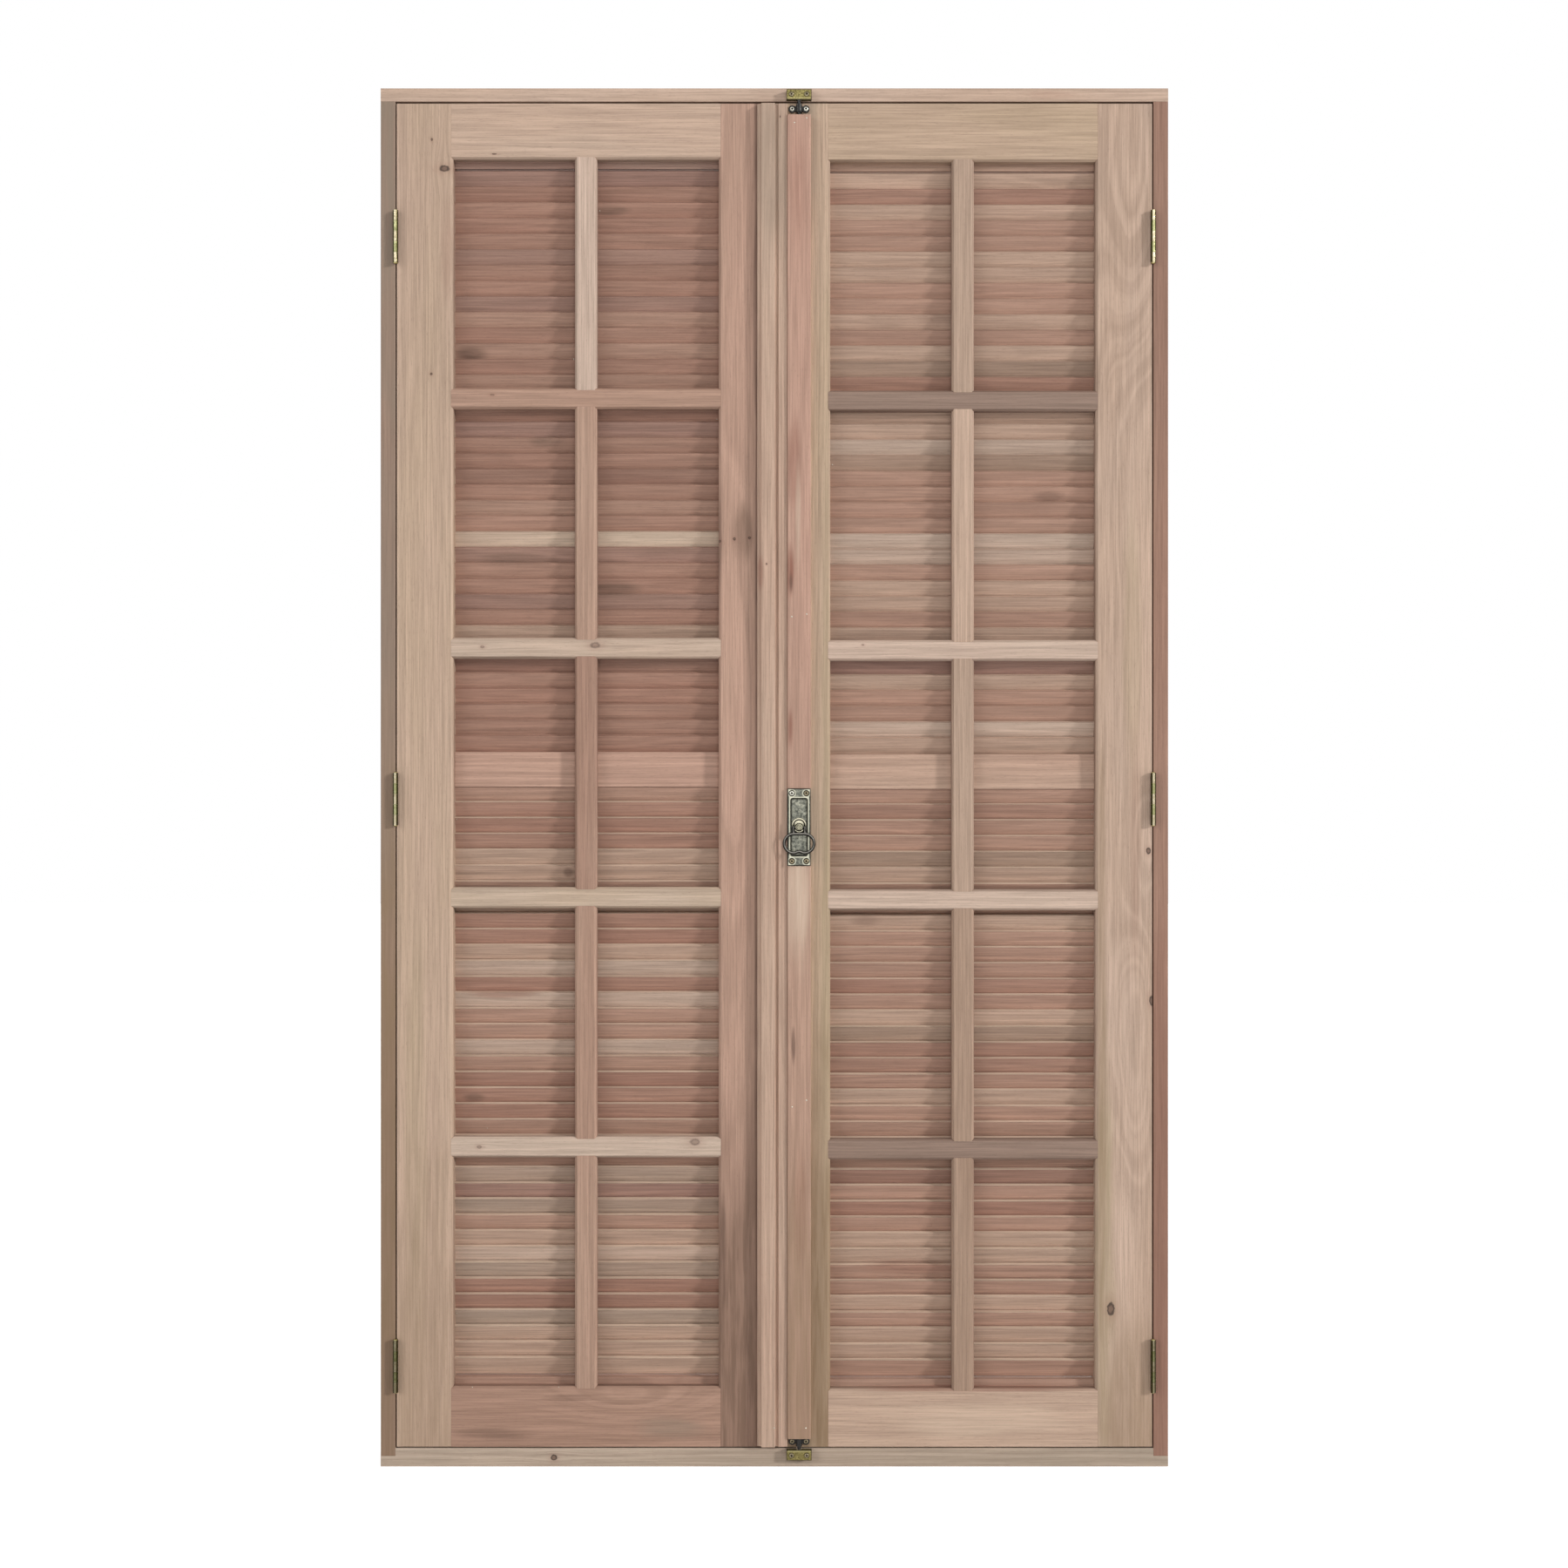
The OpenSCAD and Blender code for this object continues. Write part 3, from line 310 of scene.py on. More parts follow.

# tones of the planed boards, and what stains, painted shade and knots turn them into
woodTone = tones(
    tan=(192, 166, 147), pale=(199, 176, 160), straw=(196, 177, 160), rosy=(182, 150, 132), pink=(186, 150, 133),
    brown=(172, 140, 122), reddish=(163, 130, 113), olive=(187, 164, 140), greyish=(174, 159, 143),
    dusk=(143, 121, 108), nut=(157, 131, 112), hazel=(166, 140, 121), fawn=(175, 151, 133),
    jambRose=(156, 121, 104), jambGrey=(146, 123, 108))
slatTone = tones(
    red=(158, 121, 105), rose=(170, 136, 119), plum=(150, 118, 106), tan=(183, 156, 138), grey=(170, 149, 133),
    dun=(158, 134, 117), pale=(205, 184, 164), ash=(191, 169, 153), brown=(142, 108, 94))
stainAndShadeTone = tones(
    umber=(98, 74, 62), grey=(140, 124, 108), rust=(138, 92, 76), green=(164, 148, 116), moss=(142, 118, 92),
    bark=(124, 98, 82), black=(52, 40, 34), cream=(214, 192, 170))
behindBars = -0.0415  # Y of the bars' backs
rebateDepth = (-0.0535, -0.0185)
woodRelief, metalRelief = 0.0006, 0.0003  # height of the finest unevenness


def addRelief(b, shader, height, strength, distance):
    relief = b.node("ShaderNodeBump")
    relief.inputs["Strength"].default_value = strength
    relief.inputs["Distance"].default_value = distance
    b.put(relief.inputs["Height"], height)
    b.put(shader.inputs["Normal"], relief.outputs[0])


def addStainsAndShadows(b, vector, colour, stainsAndShadows):
    for markTone, (across, along), halfWidth, halfHeight, amount in stainsAndShadows:
        made = b.use(stainAndShadowGroup, Vector=vector, Centre=(across, 0, along), HalfWidth=halfWidth, HalfHeight=halfHeight)
        colour = b.coat(colour, made["Mask"], amount, stainAndShadeTone[markTone])
    return colour


def finishWood(b, vector, tone, look, material):
    # figure, fibre, pores, stains and knots over a given tone, then the shader itself
    place = vector
    knots = []
    for (across, along), halfWidth, halfHeight in look.get("knots", []):
        made = b.use(knotGroup, Vector=place, Centre=(across, 0, along), HalfWidth=halfWidth, HalfHeight=halfHeight)
        knots.append(made)
        place = made["Bent"]
    hill = 0.0
    for (across, along), halfWidth, halfHeight, rise in look.get("ovals", []):
        made = b.use(ovalGroup, Vector=place, Centre=(across, 0, along), HalfWidth=halfWidth, HalfHeight=halfHeight,
                     Rise=rise)
        hill = b.calc("ADD", made["Hill"], hill)
    grain = b.use(
        grainGroup, Vector=place, Seed=look["seed"], PithX=look["pith"][0], PithY=look["pith"][1], Hill=hill,
        LeanX=look.get("lean", 0.0), RingWidth=look.get("rings", 0.007), Waver=look.get("waver", 0.02))
    drift = b.fade(grain["Cloud"], 0.36, 0.66)
    colour = b.blend(b.times(drift, look.get("driftAmount", 0.55)), tone, woodTone[look.get("drift", "rosy")])
    figure = b.fade(grain["Rings"], 0.32, 0.68)
    depth = look.get("figure", 0.09)
    colour = b.shade(colour, figure, (1 - depth, 1 - 1.15 * depth, 1 - 1.3 * depth, 1), (1.04, 1.03, 1.02, 1))
    lines = b.fade(grain["Fibre"], 0.3, 0.7)
    colour = b.shade(colour, lines, (0.85, 0.84, 0.83, 1), (1.12, 1.115, 1.11, 1))
    bands = b.fade(grain["Streak"], 0.34, 0.66)
    swing = look.get("streaks", 0.025)
    colour = b.shade(colour, bands, (1 - swing, 1 - 1.1 * swing, 1 - 1.2 * swing, 1), (1 + swing, 1 + swing, 1 + swing, 1))
    colour = b.coat(colour, grain["Pores"], 0.18, stainAndShadeTone["umber"])
    colour = addStainsAndShadows(b, place, colour, look.get("stainsAndShadows", []))
    faint = look.get("knotDepth", 1.0)
    for made in knots:
        colour = b.coat(colour, made["Halo"], 0.22, stainAndShadeTone["rust"])
        colour = b.coat(colour, made["Core"], 0.78 * faint, stainAndShadeTone["umber"])
        colour = b.coat(colour, made["Rim"], 0.85 * faint, stainAndShadeTone["black"])
    shader = material.node_tree.nodes["Principled BSDF"]
    b.put(shader.inputs["Base Color"], colour)
    b.put(shader.inputs["Roughness"], b.fade(grain["Fibre"], 0.2, 0.8, 0.74, 0.58))
    shader.inputs["Specular IOR Level"].default_value = 0.32
    height = b.calc("MULTIPLY_ADD", grain["Pores"], -0.6, grain["Fibre"])
    addRelief(b, shader, height, look.get("bump", 0.3), woodRelief)


def startMaterial(name):
    material = bpy.data.materials.new(name)
    material.use_nodes = True
    return material, Bench(material.node_tree)


def alongGrain(b, way):
    # object coordinates, turned so that the grain runs along Z
    spot = b.spot()
    if way == "z":
        return spot
    place = b.split(spot)
    return b.join(place[2], place[1], place[0])


def endGrain(b, tone, way):
    # sawn ends drink more light than planed faces
    facing = b.facing()
    along = b.calc("ABSOLUTE", facing["XYZ".index(way.upper())])
    return b.blend(b.fade(along, 0.75, 0.95, 0.0, 0.45), tone, stainAndShadeTone["rust"])


def cellSideShade(b, tone, way, inner):
    # painted shade on the sides that look into the cells; inner is the way they face, 0 for both ways
    across = b.facing()[2 if way == "x" else 0]
    side = b.times(across, float(inner)) if inner else b.calc("ABSOLUTE", across)
    return b.blend(b.fade(side, 0.55, 0.95, 0.0, 0.62), tone, stainAndShadeTone["umber"])


def woodMaterial(name, look):
    material, b = startMaterial(name)
    way = look.get("way", "z")
    tone = endGrain(b, woodTone[look["tone"]], way)
    if "inner" in look:
        tone = cellSideShade(b, tone, way, look["inner"])
    if "behind" in look:
        depth = b.split(b.spot())[1]
        sunk = b.fade(depth, behindBars - 0.0008, behindBars)
        tone = b.blend(sunk, tone, slatTone[look["behind"]])
    if "rebate" in look:
        depth = b.split(b.spot())[1]
        front, back = look["rebate"]
        inside = b.times(b.fade(depth, front, front + 0.002), b.calc("LESS_THAN", depth, back))
        tone = b.coat(tone, inside, 0.75, stainAndShadeTone["umber"])
    finishWood(b, alongGrain(b, way), tone, look, material)
    return material


def dress(name, material):
    piece = nodes[name]
    if piece.material_slots:
        piece.material_slots[0].material = material
    else:
        piece.data.materials.append(material)


eased = dict(board=0.0007, upright=0.0006, slat=0.0007, case=0.0006)


def easeEdges(name, width, segments=2):
    # sandpaper on each arris
    piece = nodes[name]
    weld = piece.modifiers.new("weld", "WELD")
    weld.merge_threshold = 0.00002
    bevel = piece.modifiers.new("eased", "BEVEL")
    bevel.width = width
    bevel.segments = segments
    bevel.limit_method = "ANGLE"
    bevel.angle_limit = math.radians(28)
    bevel.harden_normals = True
    bevel.use_clamp_overlap = True


# positions are metres in the door's own frame: (across, along the grain)
boards = {
    "head": dict(
        tone="tan", way="x", rebate=rebateDepth, seed=1.0, pith=(1.95, 0.12), rings=0.006, drift="pale",
        stainsAndShadows=[("rust", (2.09, 0.42), 0.008, 0.05, 0.25)]),
    "sill": dict(
        tone="greyish", way="x", rebate=rebateDepth, seed=2.0, pith=(0.16, 0.2), rings=0.005, drift="straw",
        figure=0.14,
        knots=[((0.0135, -0.336), 0.0035, 0.004)],
        stainsAndShadows=[("grey", (0.012, 0.2), 0.02, 0.4, 0.2)]),
    "left_jamb": dict(
        tone="jambGrey", rebate=rebateDepth, seed=3.0, pith=(-0.75, 0.1), rings=0.006, drift="reddish",
        stainsAndShadows=[("grey", (-0.59, 1.95), 0.04, 0.34, 0.85), ("grey", (-0.59, 1.2), 0.04, 0.6, 0.5),
                ("moss", (-0.59, 0.45), 0.05, 0.7, 1.0), ("umber", (-0.59, 0.3), 0.05, 0.6, 0.22)]),
    "right_jamb": dict(
        tone="jambRose", rebate=rebateDepth, seed=4.0, pith=(0.72, 0.16), rings=0.006, drift="reddish",
        stainsAndShadows=[("rust", (0.59, 0.35), 0.05, 0.6, 0.35), ("umber", (0.59, 0.3), 0.05, 0.5, 0.16),
                ("umber", (0.59, 1.9), 0.05, 0.5, 0.14)]),
    "left_hinge_stile": dict(
        inner=1, tone="tan", seed=5.0, pith=(-0.75, 0.05), lean=0.01, rings=0.009, drift="olive", figure=0.07,
        knots=[((-0.503, 1.978), 0.0062, 0.0038), ((-0.523, 1.665), 0.0015, 0.0016),
               ((-0.522, 2.022), 0.0012, 0.0018)],
        stainsAndShadows=[("umber", (-0.535, 1.9), 0.09, 0.45, 0.09), ("rust", (-0.5, 1.86), 0.01, 0.09, 0.2),
                ("green", (-0.545, 0.5), 0.02, 0.35, 0.3), ("moss", (-0.535, 0.12), 0.07, 0.4, 0.4)]),
    "left_meeting_stile": dict(
        inner=-1, tone="rosy", seed=6.0, pith=(-0.06, 0.13), lean=0.03, rings=0.014, waver=0.05, drift="pink",
        figure=0.1,
        ovals=[((-0.06, 1.1), 0.06, 0.7, 0.04)],
        knots=[((-0.0832, 1.41), 0.0016, 0.0016), ((-0.061, 1.4135), 0.0017, 0.0019),
               ((-0.038, 1.415), 0.0017, 0.0016)],
        stainsAndShadows=[("bark", (-0.047, 1.428), 0.019, 0.05, 0.75), ("bark", (-0.045, 0.12), 0.13, 0.46, 1.0),
                # the umber strip at -0.0265 beside the astragal's edge is painted shadow of the astragal; the one at
                # -0.0275 near the top is part painted shadow, part dark sapwood
                ("umber", (-0.0265, 1.1), 0.0045, 1.4, 0.85), ("umber", (-0.078, 0.33), 0.006, 0.13, 0.6),
                ("umber", (-0.0275, 1.74), 0.006, 0.36, 0.6), ("umber", (-0.084, 1.4), 0.005, 0.09, 0.5)]),
    "left_top_rail": dict(
        inner=-1, tone="tan", way="x", seed=7.0, pith=(1.86, 0.06), lean=-0.02, rings=0.009, drift="straw",
        behind="plum", figure=0.06,
        knots=[((2.0, -0.427), 0.0008, 0.0028)]),
    "left_bottom_rail": dict(
        inner=1, behind="rose", tone="brown", way="x", seed=8.0, pith=(-0.05, 0.05), lean=0.03, rings=0.012,
        drift="reddish", figure=0.12,
        ovals=[((0.1, -0.22), 0.055, 0.17, 0.04)],
        stainsAndShadows=[("umber", (0.105, -0.31), 0.007, 0.045, 0.45), ("umber", (0.05, -0.43), 0.01, 0.07, 0.5),
                ("grey", (0.06, -0.16), 0.02, 0.06, 0.5)]),
    "left_middle_rail": dict(tone="pink", way="x", seed=9.0, pith=(1.2, 0.1)),
    "left_bar_1": dict(
        inner=0, tone="brown", way="x", knotDepth=0.5, seed=10.0, pith=(1.5, 0.1),
        knots=[((1.633, -0.43), 0.0012, 0.003)]),
    "left_bar_2": dict(
        inner=0, tone="straw", way="x", knotDepth=0.5, seed=11.0, pith=(1.35, 0.05), drift="tan", waver=0.03,
        knots=[((1.2515, -0.273), 0.0036, 0.006), ((1.249, -0.445), 0.0016, 0.0025)]),
    "left_bar_3": dict(inner=0, tone="straw", way="x", seed=12.0, pith=(0.95, 0.04), drift="olive"),
    "left_bar_4": dict(
        inner=0, tone="straw", way="x", knotDepth=0.5, seed=13.0, pith=(0.4, 0.04), drift="pale",
        knots=[((0.4945, -0.121), 0.004, 0.006), ((0.487, -0.45), 0.002, 0.003)]),
    "right_hinge_stile": dict(
        inner=-1, tone="tan", seed=14.0, pith=(0.535, 0.025), lean=0.024, rings=0.008, waver=0.045, drift="pale",
        figure=0.14,
        ovals=[((0.551, 0.638), 0.05, 0.3, 0.03), ((0.569, 0.955), 0.035, 0.14, 0.02),
               ((0.552, 2.05), 0.075, 0.55, 0.06)],
        knots=[((0.5125, 0.24), 0.0045, 0.008), ((0.575, 0.71), 0.003, 0.006), ((0.57, 0.938), 0.0028, 0.004)],
        stainsAndShadows=[("umber", (0.535, 1.85), 0.09, 0.45, 0.08), ("green", (0.502, 0.3), 0.016, 0.42, 0.55),
                ("moss", (0.4985, 0.66), 0.009, 0.62, 0.55), ("green", (0.545, 1.25), 0.016, 0.25, 0.3),
                ("rust", (0.55, 0.95), 0.01, 0.2, 0.2), ("moss", (0.545, 0.07), 0.06, 0.2, 0.65)]),
    "right_meeting_stile": dict(
        inner=1, tone="olive", seed=15.0, pith=(0.3, 0.05), lean=0.006, rings=0.006, drift="tan", figure=0.1,
        stainsAndShadows=[("grey", (0.055, 2.0), 0.016, 0.14, 0.55), ("green", (0.08, 0.9), 0.01, 0.9, 0.4),
                ("moss", (0.07, 0.12), 0.06, 0.55, 0.95)]),
    "right_top_rail": dict(
        inner=-1, tone="olive", way="x", seed=16.0, pith=(1.9, 0.08), lean=0.012, rings=0.009, drift="tan",
        behind="rose",
        stainsAndShadows=[("moss", (2.04, 0.29), 0.1, 0.4, 0.14)]),
    "right_bottom_rail": dict(
        inner=1, behind="rose", tone="tan", way="x", seed=17.0, pith=(0.2, 0.05), lean=-0.03, rings=0.012,
        drift="tan",
        stainsAndShadows=[("cream", (0.07, 0.3), 0.03, 0.16, 0.4), ("rust", (0.117, 0.3), 0.004, 0.2, 0.5)]),
    "right_middle_rail": dict(tone="rosy", way="x", seed=18.0, pith=(1.2, 0.1), drift="tan"),
    "right_bar_1": dict(inner=0, tone="dusk", way="x", seed=19.0, pith=(1.5, 0.1), drift="dusk"),
    "right_bar_2": dict(
        inner=0, tone="pale", way="x", knotDepth=0.5, seed=20.0, pith=(1.35, 0.05), drift="straw",
        knots=[((1.252, 0.135), 0.001, 0.0016)]),
    "right_bar_3": dict(inner=0, tone="pale", way="x", seed=21.0, pith=(0.95, 0.04), drift="straw"),
    "right_bar_4": dict(inner=0, tone="dusk", way="x", seed=22.0, pith=(0.4, 0.04), drift="dusk"),
    "astragal": dict(
        tone="tan", seed=23.0, pith=(-0.2, 0.06), lean=0.004, rings=0.006,
        knots=[((-0.012, 1.374), 0.001, 0.0012), ((0.0088, 2.054), 0.0008, 0.0012)],
        stainsAndShadows=[("grey", (0.0, 1.98), 0.03, 0.16, 0.5), ("rust", (-0.022, 1.36), 0.006, 0.03, 0.5)]),
    "upper_rod_cover": dict(
        tone="pink", seed=24.0, pith=(0.11, 0.01), lean=0.02, rings=0.01, waver=0.05,
        stainsAndShadows=[("rust", (0.024, 1.36), 0.008, 0.05, 0.9), ("rust", (0.03, 1.53), 0.012, 0.09, 0.55),
                ("umber", (0.025, 1.345), 0.004, 0.02, 0.7), ("rust", (0.0245, 1.125), 0.006, 0.04, 0.75),
                ("rust", (0.035, 1.95), 0.02, 0.12, 0.3), ("cream", (0.036, 1.44), 0.005, 0.1, 0.4),
                ("umber", (0.037, 1.12), 0.04, 0.22, 0.1)]),
    "lower_rod_cover": dict(
        tone="rosy", seed=25.0, pith=(0.12, 0.02), lean=0.015, rings=0.011, waver=0.04, drift="brown",
        stainsAndShadows=[("rust", (0.03, 0.82), 0.012, 0.09, 0.5), ("umber", (0.029, 0.645), 0.004, 0.03, 0.75),
                ("rust", (0.04, 0.4), 0.012, 0.1, 0.4), ("moss", (0.037, 0.1), 0.05, 0.42, 0.6),
                ("cream", (0.036, 0.86), 0.024, 0.12, 0.75)]),
}
for name, look in boards.items():
    dress(name, woodMaterial(name + "Wood", look))
    easeEdges(name, eased["board"])
print("boards:", len(boards), "woods")

# each upright is five lengths of wood, cut between the cross bars
uprights = {
    "left_uprights": dict(tones=["brown", "brown", "reddish", "brown", "pale"], seed=31.0, pith=(-0.5, 0.06)),
    "right_uprights": dict(tones=["nut", "hazel", "fawn", "tan", "fawn"], seed=32.0, pith=(0.6, 0.06)),
}
uprightRun = dict(count=5, barHeight=0.032)
for name, look in uprights.items():
    material, b = startMaterial(name + "Wood")
    low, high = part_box(name)
    pitch = (high.z - low.z + uprightRun["barHeight"]) / uprightRun["count"]
    spot = b.spot()
    height = b.split(spot)[2]
    number = b.calc("FLOOR", b.calc("DIVIDE", b.minus(height, low.z - uprightRun["barHeight"] / 2), pitch))
    tone = b.steps(b.calc("DIVIDE", b.calc("ADD", number, 0.5), uprightRun["count"]), [woodTone[t] for t in look["tones"]])
    tone = cellSideShade(b, tone, "z", 0)
    moved = b.vector("ADD", spot, b.join(b.times(number, 0.37), b.times(number, 0.11), 0.0))
    finishWood(b, moved, tone, dict(look, drift="tan", driftAmount=0.3, rings=0.006), material)
    dress(name, material)
    easeEdges(name, eased["upright"])
print("uprights dressed")

# the slats were never sorted: red, rosy, grey and pale ones lie as they came
slats = {
    "left_upper_slats": dict(
        sandingAndPaintedLight=("brown", 0.2), paintedPocketLight=0.19, common="red", seed=41.0, lot=3.0,
        stainsAndShadows=[("umber", (1.7, -0.465), 0.012, 0.03, 0.8), ("umber", (1.34, -0.25), 0.014, 0.05, 0.8),
                ("umber", (1.565, -0.35), 0.01, 0.03, 0.7), ("umber", (1.92, -0.25), 0.008, 0.03, 0.7),
                ("umber", (1.385, -0.4), 0.012, 0.07, 0.6)],
        # brown on slat 5, just under a bar, is painted shade of the bar
        marked=dict(pale=[13], tan=[7], rose=[15, 23, 25, 27], plum=[9, 12, 20, 28, 31, 36], brown=[5, 17])),
    "left_lower_slats": dict(
        sandingAndPaintedLight=("pale", 0.8), paintedPocketLight=0.22, common="rose", seed=42.0, lot=8.0,
        stainsAndShadows=[("umber", (0.905, -0.316), 0.008, 0.008, 0.9), ("rust", (0.72, -0.42), 0.01, 0.06, 0.5),
                ("umber", (0.56, -0.46), 0.008, 0.02, 0.7)],
        marked=dict(tan=[0, 1, 2, 8, 26, 29, 31, 32], ash=[7, 20, 23, 25], grey=[3, 6, 10, 12], plum=[11],
                    red=[4, 5, 16, 17, 18, 24, 27, 28, 33, 34, 35])),
    "right_upper_slats": dict(
        sandingAndPaintedLight=("tan", 0.3), paintedPocketLight=0.17, common="rose", seed=43.0, lot=14.0,
        stainsAndShadows=[("black", (1.986, 0.22), 0.006, 0.008, 0.9), ("umber", (1.75, 0.26), 0.012, 0.05, 0.5),
                ("umber", (1.48, 0.42), 0.01, 0.03, 0.5)],
        # plum on slat 5, just under a bar, is painted shade of the bar
        marked=dict(tan=[0, 4, 7, 9, 10, 20, 21, 25, 27, 30, 31, 34, 36], ash=[1, 12, 13, 19], dun=[18, 24],
                    plum=[5], red=[23, 35])),
    "right_lower_slats": dict(
        sandingAndPaintedLight=("pale", 0.8), paintedPocketLight=0.22, common="rose", seed=44.0, lot=21.0,
        stainsAndShadows=[("umber", (0.83, 0.14), 0.01, 0.03, 0.6), ("rust", (0.3, 0.2), 0.012, 0.08, 0.5)],
        marked=dict(tan=[1, 2, 4, 7, 8, 17, 22, 28, 31], dun=[21, 32], red=[10, 19, 20, 24, 35], brown=[12])),
}
slatRun = dict(count=37, width=0.030, thickness=0.007, slope=math.radians(68))
slatRise = slatRun["width"] * math.sin(slatRun["slope"]) + slatRun["thickness"] * math.cos(slatRun["slope"])
for name, look in slats.items():
    material, b = startMaterial(name + "Wood")
    low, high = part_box(name)
    pitch = (high.z - low.z - slatRise) / (slatRun["count"] - 1)
    spot = b.spot()
    place = b.split(spot)
    level = b.calc("MULTIPLY_ADD", b.minus(place[1], (low.y + high.y) / 2), math.tan(slatRun["slope"]), place[2])
    number = b.calc("FLOOR", b.calc("MULTIPLY_ADD", b.minus(level, low.z + slatRise / 2), 1 / pitch, 0.5))
    lot = b.chance(b.calc("ADD", number, look["lot"]))
    tone = slatTone[look["common"]]
    for other, numbers in look["marked"].items():
        for which in numbers:
            tone = b.blend(b.calc("COMPARE", number, float(which), 0.4), tone, slatTone[other])
    shade = b.fade(lot["Value"], 0.0, 1.0, 0.94, 1.05)
    tone = b.brighten(tone, shade)
    # the up-facing edges of each slat take another tone, partly sanding wear and partly painted light: paler as painted
    # highlight, and on the upper left set darker as painted shade
    arris = b.fade(b.facing()[2], 0.25, 0.8)
    tone = b.coat(tone, arris, look["sandingAndPaintedLight"][1], slatTone[look["sandingAndPaintedLight"][0]])
    foot = b.band(place[1], low.y + 0.0035, low.y + 0.0085, low.y + 0.012, low.y + 0.0095)
    lift = b.calc("MULTIPLY_ADD", foot, look["paintedPocketLight"], 1.0)  # painted light lifts the shade where one slat meets the next
    tone = b.brighten(tone, lift)
    turned = b.join(place[2], place[1], place[0])
    jump = b.vector("SCALE", lot["Color"])
    jump.node.inputs["Scale"].default_value = 3.0
    apart = b.vector("MULTIPLY", jump, (0.0, 1.0, 1.0))
    own = b.vector("ADD", turned, apart)
    finish = dict(look, stainsAndShadows=[], pith=(1.2, 0.4), rings=0.005, waver=0.05, figure=0.08, streaks=0.05,
                  drift="rosy", driftAmount=0.3, bump=0.35)
    tone = addStainsAndShadows(b, turned, tone, look["stainsAndShadows"])
    finishWood(b, own, tone, finish, material)
    dress(name, material)
    easeEdges(name, eased["slat"])
print("slats dressed, pitch", round(pitch * 1000, 2), "mm")


def metalMaterial(name, look):
    material, b = startMaterial(name)
    look = dict(look, **tones(**{part: look[part] for part in ("dark", "bright", "worn", "grime")}))
    spot = b.spot()
    age = b.use(patinaGroup, Vector=spot, Scale=look["grainSize"], Seed=look["seed"])
    colour = b.blend(age["Mottle"], look["dark"], look["bright"])
    colour = b.blend(b.times(age["Scratch"], look.get("rubbed", 0.25)), colour, look["worn"])
    colour = b.blend(b.times(age["Speck"], look.get("specks", 0.3)), colour, look["grime"])
    for extra in look.get("extras", []):
        colour = extra(b, spot, colour, look)
    shader = material.node_tree.nodes["Principled BSDF"]
    b.put(shader.inputs["Base Color"], colour)
    b.put(shader.inputs["Roughness"], b.fade(age["Mottle"], 0.0, 1.0, look["rough"][1], look["rough"][0]))
    shader.inputs["Metallic"].default_value = look.get("metal", 1.0)
    addRelief(b, shader, b.minus(age["Mottle"], b.times(age["Speck"], 0.5)), 0.25, metalRelief)
    return material


bolt = dict(x=0.0375, z=0.9745, face=-0.055, panelFloor=-0.0672, plate=(0.0175, 0.0585), panel=(0.0135, 0.0445),
            screws=(0.011, 0.0515))


def panelShade(b, spot, colour, look):
    # painted highlight and rubbing on the rim, rubbed corners and pads round the screws, dirt on the sunk floor along
    # its walls and round the screws, painted shade with dirt along the outer edge
    place = b.split(spot)
    offX = b.calc("ABSOLUTE", b.minus(place[0], bolt["x"]))
    offZ = b.calc("ABSOLUTE", b.minus(place[2], bolt["z"]))
    sunk = b.calc("GREATER_THAN", place[1], bolt["panelFloor"])
    proud = b.minus(1.0, sunk)
    wall = b.calc("MAXIMUM", b.minus(offX, bolt["panel"][0]), b.minus(offZ, bolt["panel"][1]))
    flecks = b.fade(b.noise(spot, 170.0, 4.0, 0.6), 0.46, 0.72)
    colour = b.blend(b.times(b.times(sunk, flecks), 0.5), colour, look["worn"])
    near = b.times(b.fade(wall, -0.0042, -0.0009), sunk)
    colour = b.coat(colour, near, 0.95, look["grime"])
    # painted highlight, with rubbing, on the rim round the panel
    lip = b.times(b.fade(wall, 0.0024, 0.0008), proud)
    colour = b.coat(colour, lip, 0.75, look["worn"])
    corner = b.fade(b.calc("ADD", b.minus(offX, bolt["plate"][0]), b.minus(offZ, bolt["plate"][1])), -0.0085, -0.005)
    colour = b.coat(colour, corner, 0.95, look["worn"])
    across = b.join(b.minus(offX, bolt["screws"][0]), b.minus(offZ, bolt["screws"][1]), 0.0)
    toScrew = b.vector("LENGTH", across)
    pad = b.times(b.fade(toScrew, 0.0072, 0.0054), proud)
    colour = b.coat(colour, pad, 0.7, look["worn"])
    colour = b.blend(b.fade(toScrew, 0.0051, 0.0045), colour, look["grime"])
    # painted shade, with dirt, along the outer edge
    past = b.calc("MAXIMUM", b.minus(offX, bolt["plate"][0]), b.minus(offZ, bolt["plate"][1]))
    outer = b.fade(past, -0.0019, -0.0007)
    return b.coat(colour, outer, 0.92, look["grime"])


